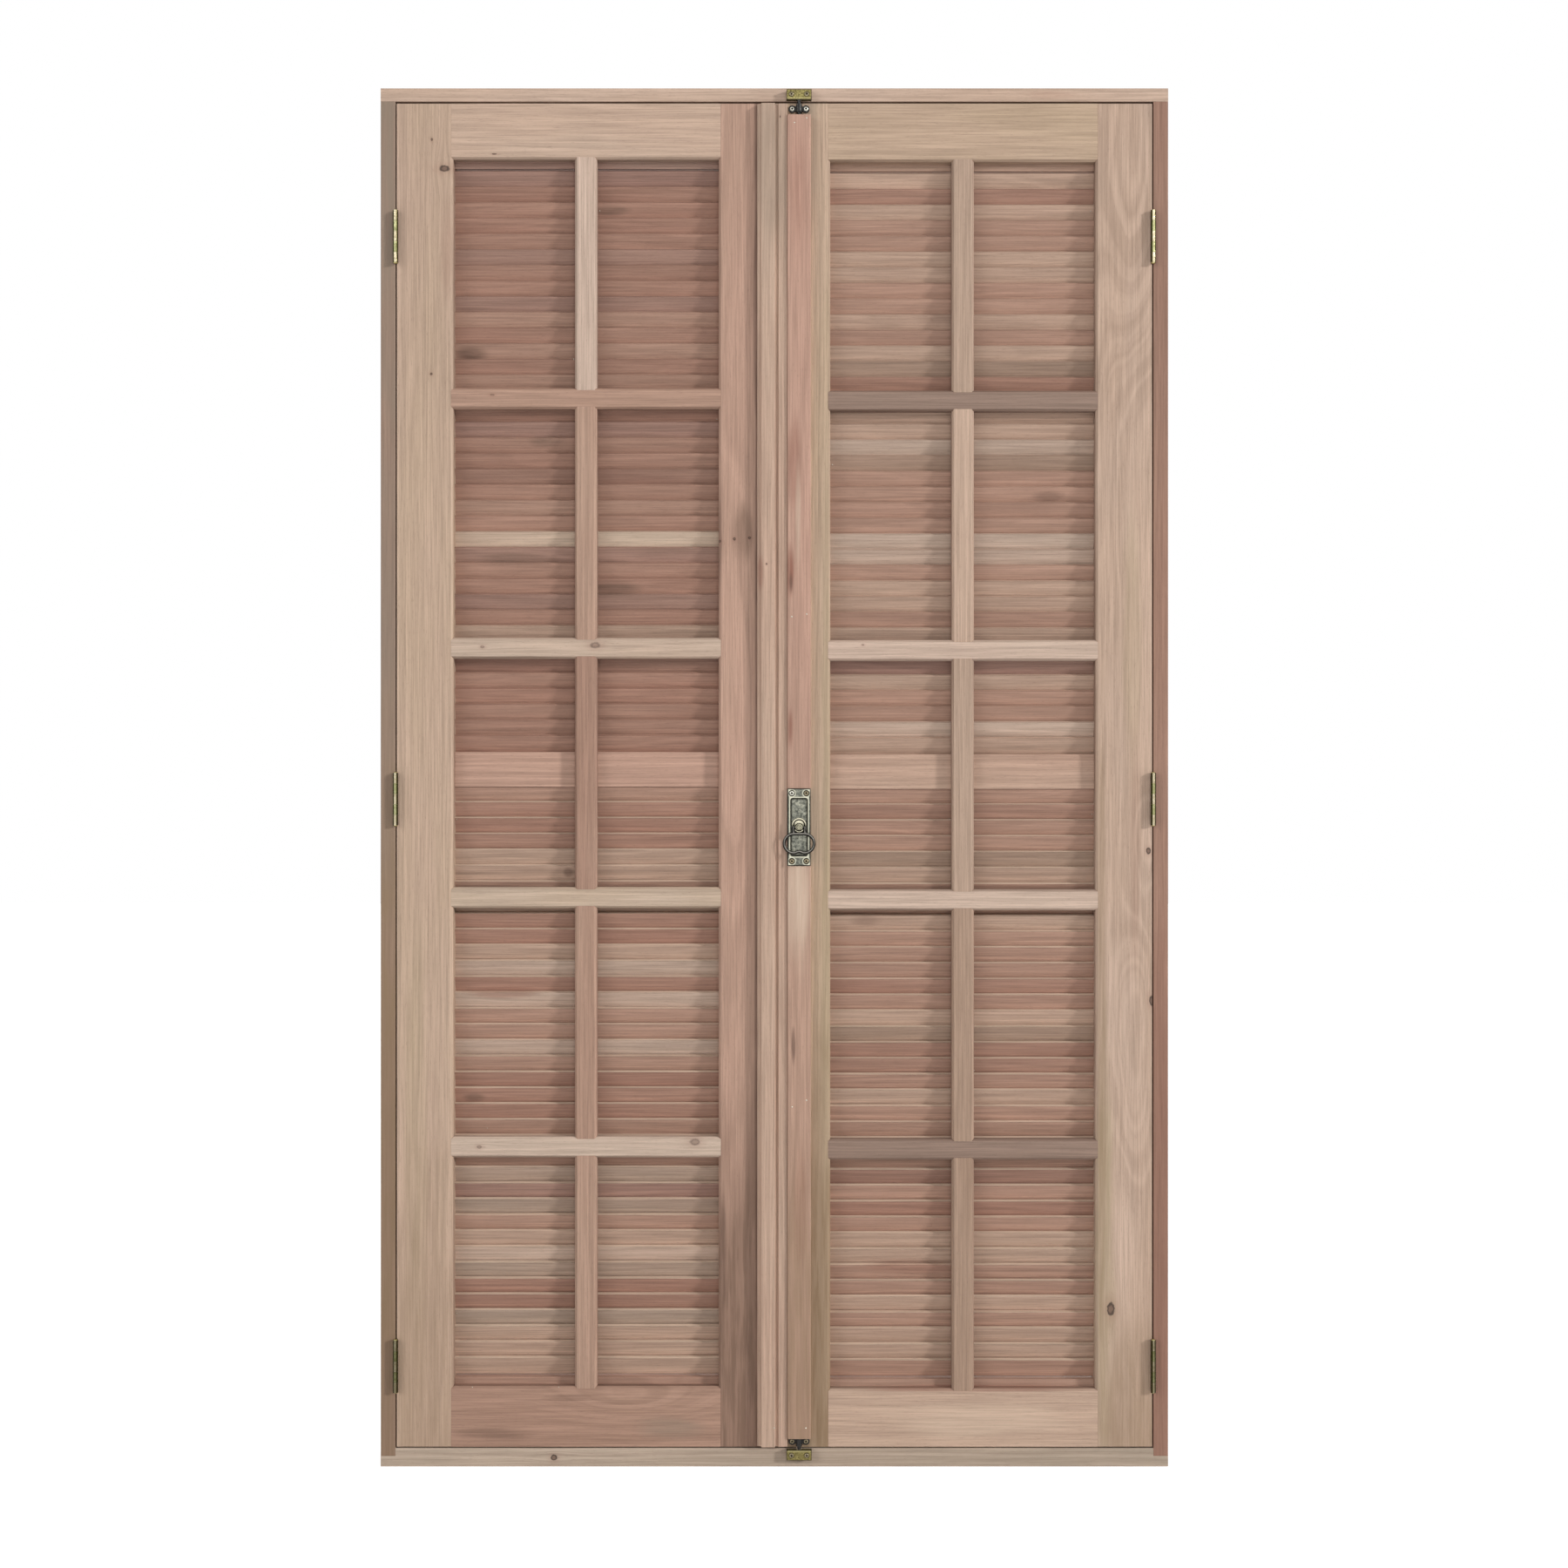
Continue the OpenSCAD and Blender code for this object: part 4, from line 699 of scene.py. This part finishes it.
def knobShade(b, spot, colour, look):
    # bright hood and boss; painted highlight on the top of the hood and on an arc low on the base, painted shade on the
    # lower half of the base, old dirt in the groove under the rim and round the boss
    place = b.split(spot)
    offX = b.minus(place[0], bolt["x"])
    offZ = b.minus(place[2], bolt["z"])
    fromBoss = b.vector("LENGTH", b.join(offX, offZ, 0.0))
    fromHood = b.vector("LENGTH", b.join(offX, b.minus(offZ, knob["hoodRise"]), 0.0))
    depth = b.minus(bolt["face"], place[1])
    # painted highlight on the top of the hood
    hood = b.fade(depth, knob["baseFront"], knob["baseFront"] + 0.0008)
    colour = b.blend(b.times(b.times(hood, b.fade(offZ, 0.003, 0.008)), 0.75), colour, look["worn"])
    rim = knob["rimIn"]
    groove = b.band(fromHood, rim - 0.0021, rim - 0.0013, rim + 0.0006, rim)
    colour = b.blend(groove, colour, look["grime"])
    edge = b.fade(fromHood, knob["rimOut"] - 0.0007, knob["rimOut"] - 0.0001)
    colour = b.coat(colour, edge, 0.9, look["grime"])
    raised = b.calc("GREATER_THAN", depth, knob["rimFront"])
    collar = b.times(b.fade(fromBoss, knob["boss"] + 0.0016, knob["boss"] + 0.0004), b.minus(1.0, raised))
    colour = b.blend(collar, colour, look["grime"])
    ringLine = b.band(fromBoss, 0.0029, 0.0034, 0.0044, 0.0039)
    colour = b.coat(colour, ringLine, 0.5, look["grime"])
    arris = b.fade(fromBoss, knob["boss"] - 0.0005, knob["boss"])
    colour = b.blend(b.times(b.times(arris, raised), 0.8), colour, look["grime"])
    # painted shade on the lower half of the base
    low = b.times(b.calc("LESS_THAN", depth, knob["baseFront"] + 0.0003), b.fade(offZ, 0.001, -0.001))
    colour = b.coat(colour, low, 0.9, look["grime"])
    # painted highlight on an arc low on the base
    glint = b.band(fromBoss, 0.0064, 0.0068, 0.0078, 0.0074)
    return b.blend(b.times(b.times(glint, low), b.fade(offZ, -0.003, -0.005)), colour, look["worn"])


def barrelSheenAndTarnish(b, spot, colour, look):
    # painted highlight, and polish from fingers and rags, down the front of a barrel; painted shade and tarnish on its
    # sides; the plates stay dull
    place = b.split(spot)
    facing = b.facing()
    barrel = b.calc("LESS_THAN", place[1], bolt["face"] + 0.0005)
    side = b.times(b.fade(b.calc("ABSOLUTE", facing[0]), 0.18, 0.5), b.calc("MULTIPLY_ADD", barrel, 0.42, 0.55))
    # the lowest hinges are darker, least where they face straight out
    dull = b.times(b.fade(place[2], 0.5, 0.2), b.fade(b.calc("ABSOLUTE", facing[0]), 0.0, 0.32, 0.5, 0.93))
    return b.blend(b.calc("MAXIMUM", side, dull), colour, look["grime"])


def keepShade(b, spot, colour, look):
    # a keep has a pale strip, painted highlight, along the edge that the rod passes, and is dark round its rim and
    # screws
    place = b.split(spot)
    high = b.calc("GREATER_THAN", place[2], 1.0)
    middle = b.blend(high, (keepPlate["levels"][1],) * 3 + (1,), (keepPlate["levels"][0],) * 3 + (1,))
    offZ = b.minus(place[2], b.split(middle)[2])
    inward = b.times(offZ, b.calc("MULTIPLY_ADD", high, -2.0, 1.0))
    offX = b.calc("ABSOLUTE", b.minus(place[0], bolt["x"]))
    toScrew = b.vector("LENGTH", b.join(b.minus(offX, keepPlate["half"]), offZ, 0.0))
    halo = b.fade(toScrew, 0.0052, 0.0038)
    colour = b.coat(colour, halo, 0.7, look["grime"])
    across, rise = keepPlate["across"], keepPlate["rise"]
    past = b.calc("MAXIMUM", b.minus(offX, across), b.minus(b.calc("ABSOLUTE", offZ), rise))
    rim = b.fade(past, -0.0013, -0.0004)
    colour = b.coat(colour, rim, 0.8, look["grime"])
    # painted highlight along the edge that the rod passes
    strip = b.times(b.fade(inward, rise - 0.003, rise - 0.0022), b.fade(offX, across - 0.0008, across - 0.0018))
    return b.coat(colour, strip, 0.25, look["worn"])


def ringPolishAndHighlight(b, spot, colour, look):
    # painted highlight along the front of the ring's bar, with polish where a hand closes on it
    facing = b.facing()
    front = b.calc("MULTIPLY_ADD", facing[2], 0.3, b.times(facing[1], -1.0))
    return b.blend(b.times(b.fade(front, 0.9, 1.04), 0.8), colour, look["worn"])


keepPlate = dict(half=0.0115, levels=(2.088, 0.02), across=0.019, rise=0.0075)
knob = dict(hoodRise=0.003, rimIn=0.009, rimOut=0.0112, rimFront=0.0185, baseFront=0.015, boss=0.0054)
metals = {
    "casePewter": dict(
        dark=(74, 76, 70), bright=(136, 136, 124), worn=(208, 205, 184),
        grime=(30, 28, 23), grainSize=240.0, specks=0.12, seed=0.3, rough=(0.34, 0.52), extras=[panelShade]),
    "knobPewter": dict(
        dark=(112, 109, 92), bright=(160, 155, 132), worn=(226, 219, 193),
        grime=(28, 26, 22), grainSize=460.0, seed=1.3, rough=(0.3, 0.46), extras=[knobShade]),
    "screwPewter": dict(
        dark=(92, 84, 66), bright=(150, 139, 114), worn=(206, 194, 164),
        grime=(50, 44, 34), grainSize=520.0, seed=1.9, rough=(0.3, 0.46)),
    "keepBrass": dict(
        dark=(88, 80, 48), bright=(136, 126, 80), worn=(214, 204, 150),
        grime=(48, 41, 24), grainSize=420.0, seed=2.3, rough=(0.34, 0.5), extras=[keepShade]),
    "frameHingeBrass": dict(
        dark=(174, 162, 130), bright=(212, 201, 172), worn=(236, 230, 210),
        grime=(46, 40, 18), grainSize=260.0, seed=3.3, rough=(0.24, 0.38), extras=[barrelSheenAndTarnish]),
    "leafHingeBrass": dict(
        dark=(146, 145, 102), bright=(182, 181, 138), worn=(212, 210, 176),
        grime=(42, 40, 16), grainSize=260.0, seed=4.3, rough=(0.26, 0.4), extras=[barrelSheenAndTarnish]),
    "pinBrass": dict(
        dark=(150, 144, 92), bright=(196, 190, 140), worn=(226, 222, 184),
        grime=(62, 56, 26), grainSize=300.0, seed=5.3, rough=(0.26, 0.38)),
    "gunmetal": dict(
        dark=(22, 21, 19), bright=(44, 42, 39), worn=(132, 128, 121),
        grime=(12, 12, 11), grainSize=420.0, seed=6.3, rough=(0.28, 0.42), extras=[ringPolishAndHighlight], rubbed=0.15),
    "blackIron": dict(
        dark=(26, 25, 24), bright=(50, 49, 47), worn=(112, 108, 102),
        grime=(14, 14, 14), grainSize=420.0, seed=7.3, rough=(0.34, 0.55), rubbed=0.15, metal=0.7),
    "zinc": dict(
        dark=(160, 158, 146), bright=(214, 212, 200), worn=(240, 240, 232),
        grime=(70, 66, 56), grainSize=700.0, seed=8.3, rough=(0.24, 0.38)),
    "recessDirt": dict(
        dark=(34, 30, 24), bright=(62, 56, 46), worn=(96, 88, 74),
        grime=(18, 16, 13), grainSize=900.0, seed=8.9, rough=(0.5, 0.7), rubbed=0.1),
    "brightNail": dict(
        dark=(160, 150, 134), bright=(212, 204, 190), worn=(238, 233, 224),
        grime=(96, 90, 80), grainSize=900.0, seed=9.3, rough=(0.26, 0.42)),
}
metal = {name: metalMaterial(name, look) for name, look in metals.items()}
metalWear = {
    "casePewter": ["bolt_case"],
    "knobPewter": ["bolt_knob"],
    "keepBrass": ["top_keep", "bottom_keep"],
    "frameHingeBrass": [n for n in nodes if n.endswith("frame_hinge")],
    "leafHingeBrass": [n for n in nodes if n.endswith("leaf_hinge")],
    "pinBrass": ["left_hinge_pins", "right_hinge_pins"],
    "gunmetal": ["ring_handle"],
    "blackIron": ["upper_rod_guide", "lower_rod_guide", "upper_bolt_rod", "lower_bolt_rod", "drive_gear", "case_liner"],
    "zinc": ["bolt_screws", "keep_screws"],
}
for finish, names in metalWear.items():
    for name in names:
        dress(name, metal[finish])
easeEdges("bolt_case", eased["case"], 3)
print("metals dressed:", len(metal))


def newPiece(name, mesh, finishes, body):
    piece = bpy.data.objects.new(name, mesh)
    scene.collection.objects.link(piece)
    for finish in finishes:
        mesh.materials.append(metal[finish])
    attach(piece, body)
    return piece


def addTurned(bm, place, profile, segments, shape=None, finish=0, recess=None):
    # a profile of (radius, height) turned about the local Z; shape may sink points, recess names their finish
    rings = []
    local = {}
    for radius, height in profile:
        ring = []
        for i in range(segments if radius else 1):
            a = 2 * math.pi * i / segments
            x, y = radius * math.cos(a), radius * math.sin(a)
            point = bm.verts.new(place @ Vector((x, y, shape(x, y, height) if shape else height)))
            local[point] = shape is not None and shape(x, y, height) < height
            ring.append(point)
        rings.append(ring)
    for first, second in zip(rings, rings[1:]):
        for i in range(segments):
            j = (i + 1) % segments
            corners = [first[i % len(first)], first[j % len(first)], second[j % len(second)], second[i % len(second)]]
            corners = list(dict.fromkeys(corners))
            if len(corners) > 2:
                face = bm.faces.new(corners)
                face.material_index = recess if recess is not None and any(local[c] for c in corners) else finish


def closeMesh(bm, name):
    bmesh.ops.recalc_face_normals(bm, faces=bm.faces)
    mesh = bpy.data.meshes.new(name)
    bm.to_mesh(mesh)
    bm.free()
    mesh.polygons.foreach_set("use_smooth", [True] * len(mesh.polygons))
    return mesh


def towards(point, direction):
    # local Z looks out along the direction
    return Matrix.Translation(point) @ Vector(direction).to_track_quat("Z", "Y").to_matrix().to_4x4()


screw = dict(headRadius=0.0035, headHeight=0.0014, recess=0.0015, slotHalf=0.0006, recessDepth=0.0008,
             shank=0.00175, bite=0.006)


def addScrew(bm, point, direction, turn, look, finish=0, recess=1):
    def cross(x, y, z):
        c, s = math.cos(turn), math.sin(turn)
        u, v = abs(c * x + s * y), abs(c * y - s * x)
        inside = (min(u, v) < look["slotHalf"]) and max(u, v) < look["recess"]
        return z - look["recessDepth"] if inside and z > look["headHeight"] * 0.4 else z
    r, h = look["headRadius"], look["headHeight"]
    rise = [(0, h)] + [(r * k / 12, h * (1 - 0.45 * (k / 12) ** 3)) for k in range(1, 12)]
    shank, bite = look["shank"], look["bite"]
    profile = rise + [(r * 0.98, h * 0.42), (r, h * 0.28), (r, 0.0), (shank, 0.0), (shank, -bite), (0, -bite)]
    addTurned(bm, towards(point, direction), profile, 64, cross, finish, recess)


outward = (0, -1, 0)
casePlate = dict(front=0.0135, ear=0.003, keep=0.0095)
guideScrews = dict(half=0.0105, levels=(2.0676, 0.0394))
turns = random.Random(11)
bm = bmesh.new()
for sx in (-1, 1):
    for sz in (-1, 1):
        spot = (bolt["x"] + sx * bolt["screws"][0], bolt["face"] - casePlate["front"], bolt["z"] + sz * bolt["screws"][1])
        addScrew(bm, spot, outward, turns.uniform(0, 1.5), screw, 2 if (sx, sz) == (-1, 1) else 0)
    for level in guideScrews["levels"]:
        spot = (bolt["x"] + sx * guideScrews["half"], bolt["face"] - casePlate["ear"], level)
        addScrew(bm, spot, outward, turns.uniform(0, 1.5), screw, 2 if level > 1 else 0)
boltFinishes = ["screwPewter", "recessDirt", "zinc"]
boltScrews = newPiece("boltScrews", closeMesh(bm, "boltScrews"), boltFinishes, "right_leaf")
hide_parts("bolt_screws")
bm = bmesh.new()
for sx in (-1, 1):
    for level in keepPlate["levels"]:
        spot = (bolt["x"] + sx * keepPlate["half"], bolt["face"] - casePlate["keep"], level)
        addScrew(bm, spot, outward, turns.uniform(0, 1.5), screw)
keepScrewSet = newPiece("keepScrews", closeMesh(bm, "keepScrews"), boltFinishes[:2], "frame")
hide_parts("keep_screws")
print("bolt and keep screws made")

# three flat screws in each hinge plate, seen when the leaves stand open
hingeScrew = dict(screw, headRadius=0.0032, headHeight=0.0003, recess=0.0018, recessDepth=0.0002, bite=0.004)
hingePlate = dict(inset=(0.0125, 0.0205, 0.0125), rise=0.028, frameFace=0.5775, leafFace=0.5755)
for body, ending in (("frame", "frame_hinge"), ("left_leaf", "leaf_hinge"), ("right_leaf", "leaf_hinge")):
    bm = bmesh.new()
    for name in sorted(n for n in nodes if n.endswith(ending)):
        left = name.startswith("left")
        if body != "frame" and left != (body == "left_leaf"):
            continue
        low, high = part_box(name)
        inwardX = (1 if left else -1) * (1 if body == "frame" else -1)
        x = (-1 if left else 1) * hingePlate["frameFace" if body == "frame" else "leafFace"]
        for k, inset in zip((-1, 0, 1), hingePlate["inset"]):
            spot = (x, bolt["face"] + inset, (low.z + high.z) / 2 + k * hingePlate["rise"])
            addScrew(bm, spot, (inwardX, 0, 0), turns.uniform(0, 1.5), hingeScrew)
    label = body.replace("_leaf", "Leaf") + "HingeScrews"
    newPiece(label, closeMesh(bm, label), ["pinBrass", "recessDirt"], body)
print("hinge screws made")

# ring handle: a closed bar with a waved foot, hung from two eyes
ring = dict(y=-0.0735, bar=0.00235, sideRadius=0.0145, sideX=0.00815, drop=0.0101, footRise=0.0022, legX=0.0085,
            eye=0.00225, pivot=0.0015, pivotIn=0.0027, sides=20,
            leg=((0, 0.0023), (0.15, 0.00205), (0.35, 0.0018), (0.6, 0.0018), (0.8, 0.00195), (1.0, 0.0018)))


def ringPath():
    points = []
    r, sx = ring["sideRadius"], ring["sideX"]
    mid = -ring["drop"] - r
    for k in range(14):
        points.append((sx * (2 * k / 14 - 1), -ring["drop"]))
    for k in range(26):
        a = math.pi / 2 - math.pi * k / 26
        points.append((sx + r * math.cos(a), mid + r * math.sin(a)))
    for k in range(22):
        t = k / 22
        points.append((sx * (1 - 2 * t), mid - r + ring["footRise"] * math.sin(math.pi * t) ** 2))
    for k in range(26):
        a = -math.pi / 2 - math.pi * k / 26
        points.append((-sx + r * math.cos(a), mid + r * math.sin(a)))
    return points


def addTube(bm, points, radii, closed, sides):
    rings = []
    for i, here in enumerate(points):
        if closed:
            before, after = points[i - 1], points[(i + 1) % len(points)]
        else:
            before, after = points[max(i - 1, 0)], points[min(i + 1, len(points) - 1)]
        along = (Vector(after) - Vector(before)).normalized()
        side = along.cross(Vector((0, 1, 0))).normalized()
        up = side.cross(along)
        angles = [2 * math.pi * k / sides for k in range(sides)]
        rings.append([bm.verts.new(Vector(here) + radii[i] * (math.cos(a) * side + math.sin(a) * up)) for a in angles])
    pairs = list(zip(rings, rings[1:])) + ([(rings[-1], rings[0])] if closed else [])
    for first, second in pairs:
        for k in range(sides):
            j = (k + 1) % sides
            bm.faces.new((first[k], first[j], second[j], second[k]))
    if not closed:
        bm.faces.new(rings[0])
        bm.faces.new(rings[-1])


bm = bmesh.new()
path = [(bolt["x"] + x, ring["y"], bolt["z"] + z) for x, z in ringPath()]
addTube(bm, path, [ring["bar"]] * len(path), True, ring["sides"])
for sx in (-1, 1):
    legX = bolt["x"] + sx * ring["legX"]
    leg = [(legX, ring["y"], bolt["z"] - ring["drop"] * (1 - t)) for t, radius in ring["leg"]]
    addTube(bm, leg, [radius for t, radius in ring["leg"]], False, ring["sides"])
    e = ring["eye"]
    dome = [(0, e)] + [(e * math.sin(math.pi * k / 12), e * math.cos(math.pi * k / 12)) for k in range(1, 12)] + [(0, -e)]
    addTurned(bm, towards((legX, ring["y"], bolt["z"]), (sx, 0, 0)), dome, 24)
    inner = bolt["x"] + sx * ring["pivotIn"]
    reach = ring["legX"] - ring["pivotIn"]
    addTurned(bm, towards((inner, ring["y"], bolt["z"]), (sx, 0, 0)),
              [(0, 0), (ring["pivot"], 0), (ring["pivot"], reach), (0, reach)], 20)
ringPiece = newPiece("ringHandle", closeMesh(bm, "ringHandle"), ["gunmetal"], "ring")
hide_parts("ring_handle")
print("ring handle made")

# wire brads beside the bars, and the nails of the cover strips
brad = dict(radius=0.0009, rise=0.0005, shank=0.0005, bite=0.003)
stripNail = dict(radius=0.0013, rise=0.0005, shank=0.0007, bite=0.004)


def addNail(bm, point, direction, look):
    r, h = look["radius"], look["rise"]
    shank, bite = look["shank"], look["bite"]
    profile = [(0, h), (r * 0.4, h * 0.94), (r * 0.75, h * 0.7), (r, h * 0.2), (r * 0.97, 0),
               (shank, -0.0001), (shank, -bite), (0, -bite)]
    addTurned(bm, towards(point, direction), profile, 20)


def driveNails(label, body, spots, look):
    # each head sits on the wood that a line from the front meets first
    bm = bmesh.new()
    for name, x, z in spots:
        tree = BVHTree.FromObject(nodes[name], dg)
        hit, normal, index, distance = tree.ray_cast(Vector((x, inFront, z)), Vector((0, 1, 0)))
        if hit is None:
            print("no wood behind a nail at", x, z)
            continue
        addNail(bm, hit, normal, look)
    newPiece(label, closeMesh(bm, label), ["brightNail"], body)


inFront = -0.2
dg = bpy.context.evaluated_depsgraph_get()
bradSpots = {
    "left_leaf": [
        ("left_upper_slats", -0.4858, 1.9086), ("left_upper_slats", -0.268, 1.919),
        ("left_lower_slats", -0.487, 0.9855), ("left_lower_slats", -0.487, 0.2288),
        ("left_bottom_rail", -0.4606, 0.1205), ("left_bottom_rail", -0.329, 0.1205),
        ("left_lower_slats", -0.4407, 0.512), ("left_upper_slats", -0.307, 1.69),
        ("left_upper_slats", -0.0885, 1.6)],
    "right_leaf": [
        ("right_lower_slats", 0.2685, 0.987), ("right_lower_slats", 0.487, 0.9935),
        ("right_upper_slats", 0.4845, 1.918), ("right_upper_slats", 0.0885, 1.53),
        ("right_lower_slats", 0.3065, 0.6), ("right_lower_slats", 0.487, 0.21)],
}
nailSpots = [
    ("upper_rod_cover", 0.0305, 2.044), ("upper_rod_cover", 0.0491, 2.051), ("upper_rod_cover", 0.0265, 1.294),
    ("upper_rod_cover", 0.0491, 1.298), ("lower_rod_cover", 0.0478, 0.0625), ("astragal", 0.0, 0.0625),
    ("lower_rod_cover", 0.027, 0.55), ("lower_rod_cover", 0.0487, 0.56)]
for body, spots in bradSpots.items():
    driveNails(body.replace("_leaf", "Leaf") + "Brads", body, spots, brad)
driveNails("stripNails", "right_leaf", nailSpots, stripNail)
print("brads and nails driven")

# pale floor and white surround; a soft box in front, a sun from the right, weaker ones from the left and behind
studio = dict(ambient=0.235, floorGlow=0.72, floorSize=14.0)
lamps = {
    "front": dict(kind="AREA", place=(0.5, -3.2, 2.6), aim=(0.0, 0.0, 1.0), size=1.2, power=20.0),
    "right": dict(kind="SUN", place=(0.88, -0.43, 0.3), power=2.2, spread=7),
    "left": dict(kind="SUN", place=(-0.8, -0.52, 0.35), power=0.9, spread=24),
    "behind": dict(kind="SUN", place=(0.35, 0.8, 0.5), power=1.6, spread=35),
}


def showsBackground(b):
    light = b.node("ShaderNodeLightPath").outputs
    seen = b.calc("ADD", light["Is Camera Ray"], light["Is Glossy Ray"])
    return b.calc("ADD", seen, light["Is Transmission Ray"], clamp=True)


world = bpy.data.worlds.new("studio")
scene.world = world
world.use_nodes = True
b = Bench(world.node_tree)
backdrop = world.node_tree.nodes["Background"]
backdrop.inputs["Color"].default_value = (1, 1, 1, 1)
b.put(backdrop.inputs["Strength"], b.fade(showsBackground(b), 0.0, 1.0, studio["ambient"], 1.0))

bm = bmesh.new()
bmesh.ops.create_grid(bm, x_segments=8, y_segments=8, size=studio["floorSize"])
bm.normal_update()
floorMesh = bpy.data.meshes.new("studioFloor")
bm.to_mesh(floorMesh)
bm.free()
floor = bpy.data.objects.new("studioFloor", floorMesh)
scene.collection.objects.link(floor)
floor.location.z = -0.0005
material, b = startMaterial("paleFloor")
shader = material.node_tree.nodes["Principled BSDF"]
shader.inputs["Roughness"].default_value = 0.95
shader.inputs["Specular IOR Level"].default_value = 0.0
tint = b.noise(b.spot(), 1.2, 2.0)
b.put(shader.inputs["Base Color"], b.blend(tint, (0.84, 0.84, 0.84, 1), (0.88, 0.88, 0.88, 1)))
glow = b.node("ShaderNodeEmission")
glow.inputs["Color"].default_value = (1, 1, 1, 1)
b.put(glow.inputs["Strength"], b.times(showsBackground(b), studio["floorGlow"]))
both = b.node("ShaderNodeAddShader")
b.put(both.inputs[0], shader.outputs[0])
b.put(both.inputs[1], glow.outputs[0])
b.put(material.node_tree.nodes["Material Output"].inputs["Surface"], both.outputs[0])
floorMesh.materials.append(material)

for name, setup in lamps.items():
    lamp = bpy.data.lights.new(name, setup["kind"])
    lamp.energy = setup["power"]
    holder = bpy.data.objects.new(name, lamp)
    scene.collection.objects.link(holder)
    away = Vector(setup["place"])
    if setup["kind"] == "AREA":
        lamp.size = setup["size"]
        holder.location = away
        away = away - Vector(setup["aim"])
    else:
        lamp.angle = math.radians(setup["spread"])
    holder.rotation_mode = "QUATERNION"
    holder.rotation_quaternion = away.to_track_quat("Z", "Y")
print("studio lit")

# the camera stands square to the door, a little right of its middle
shot = dict(x=0.0146, z=1.040, distance=3.0, across=2.3893, sensor=36.0)
cameraData = bpy.data.cameras.new("camera")
cameraData.sensor_width = shot["sensor"]
cameraData.lens = shot["sensor"] * shot["distance"] / shot["across"]
camera = bpy.data.objects.new("camera", cameraData)
scene.collection.objects.link(camera)
camera.location = (shot["x"], bolt["face"] - shot["distance"], shot["z"])
camera.rotation_euler = (math.radians(90), 0, 0)
scene.camera = camera
scene.view_settings.view_transform = "Standard"

bpy.context.view_layer.update()
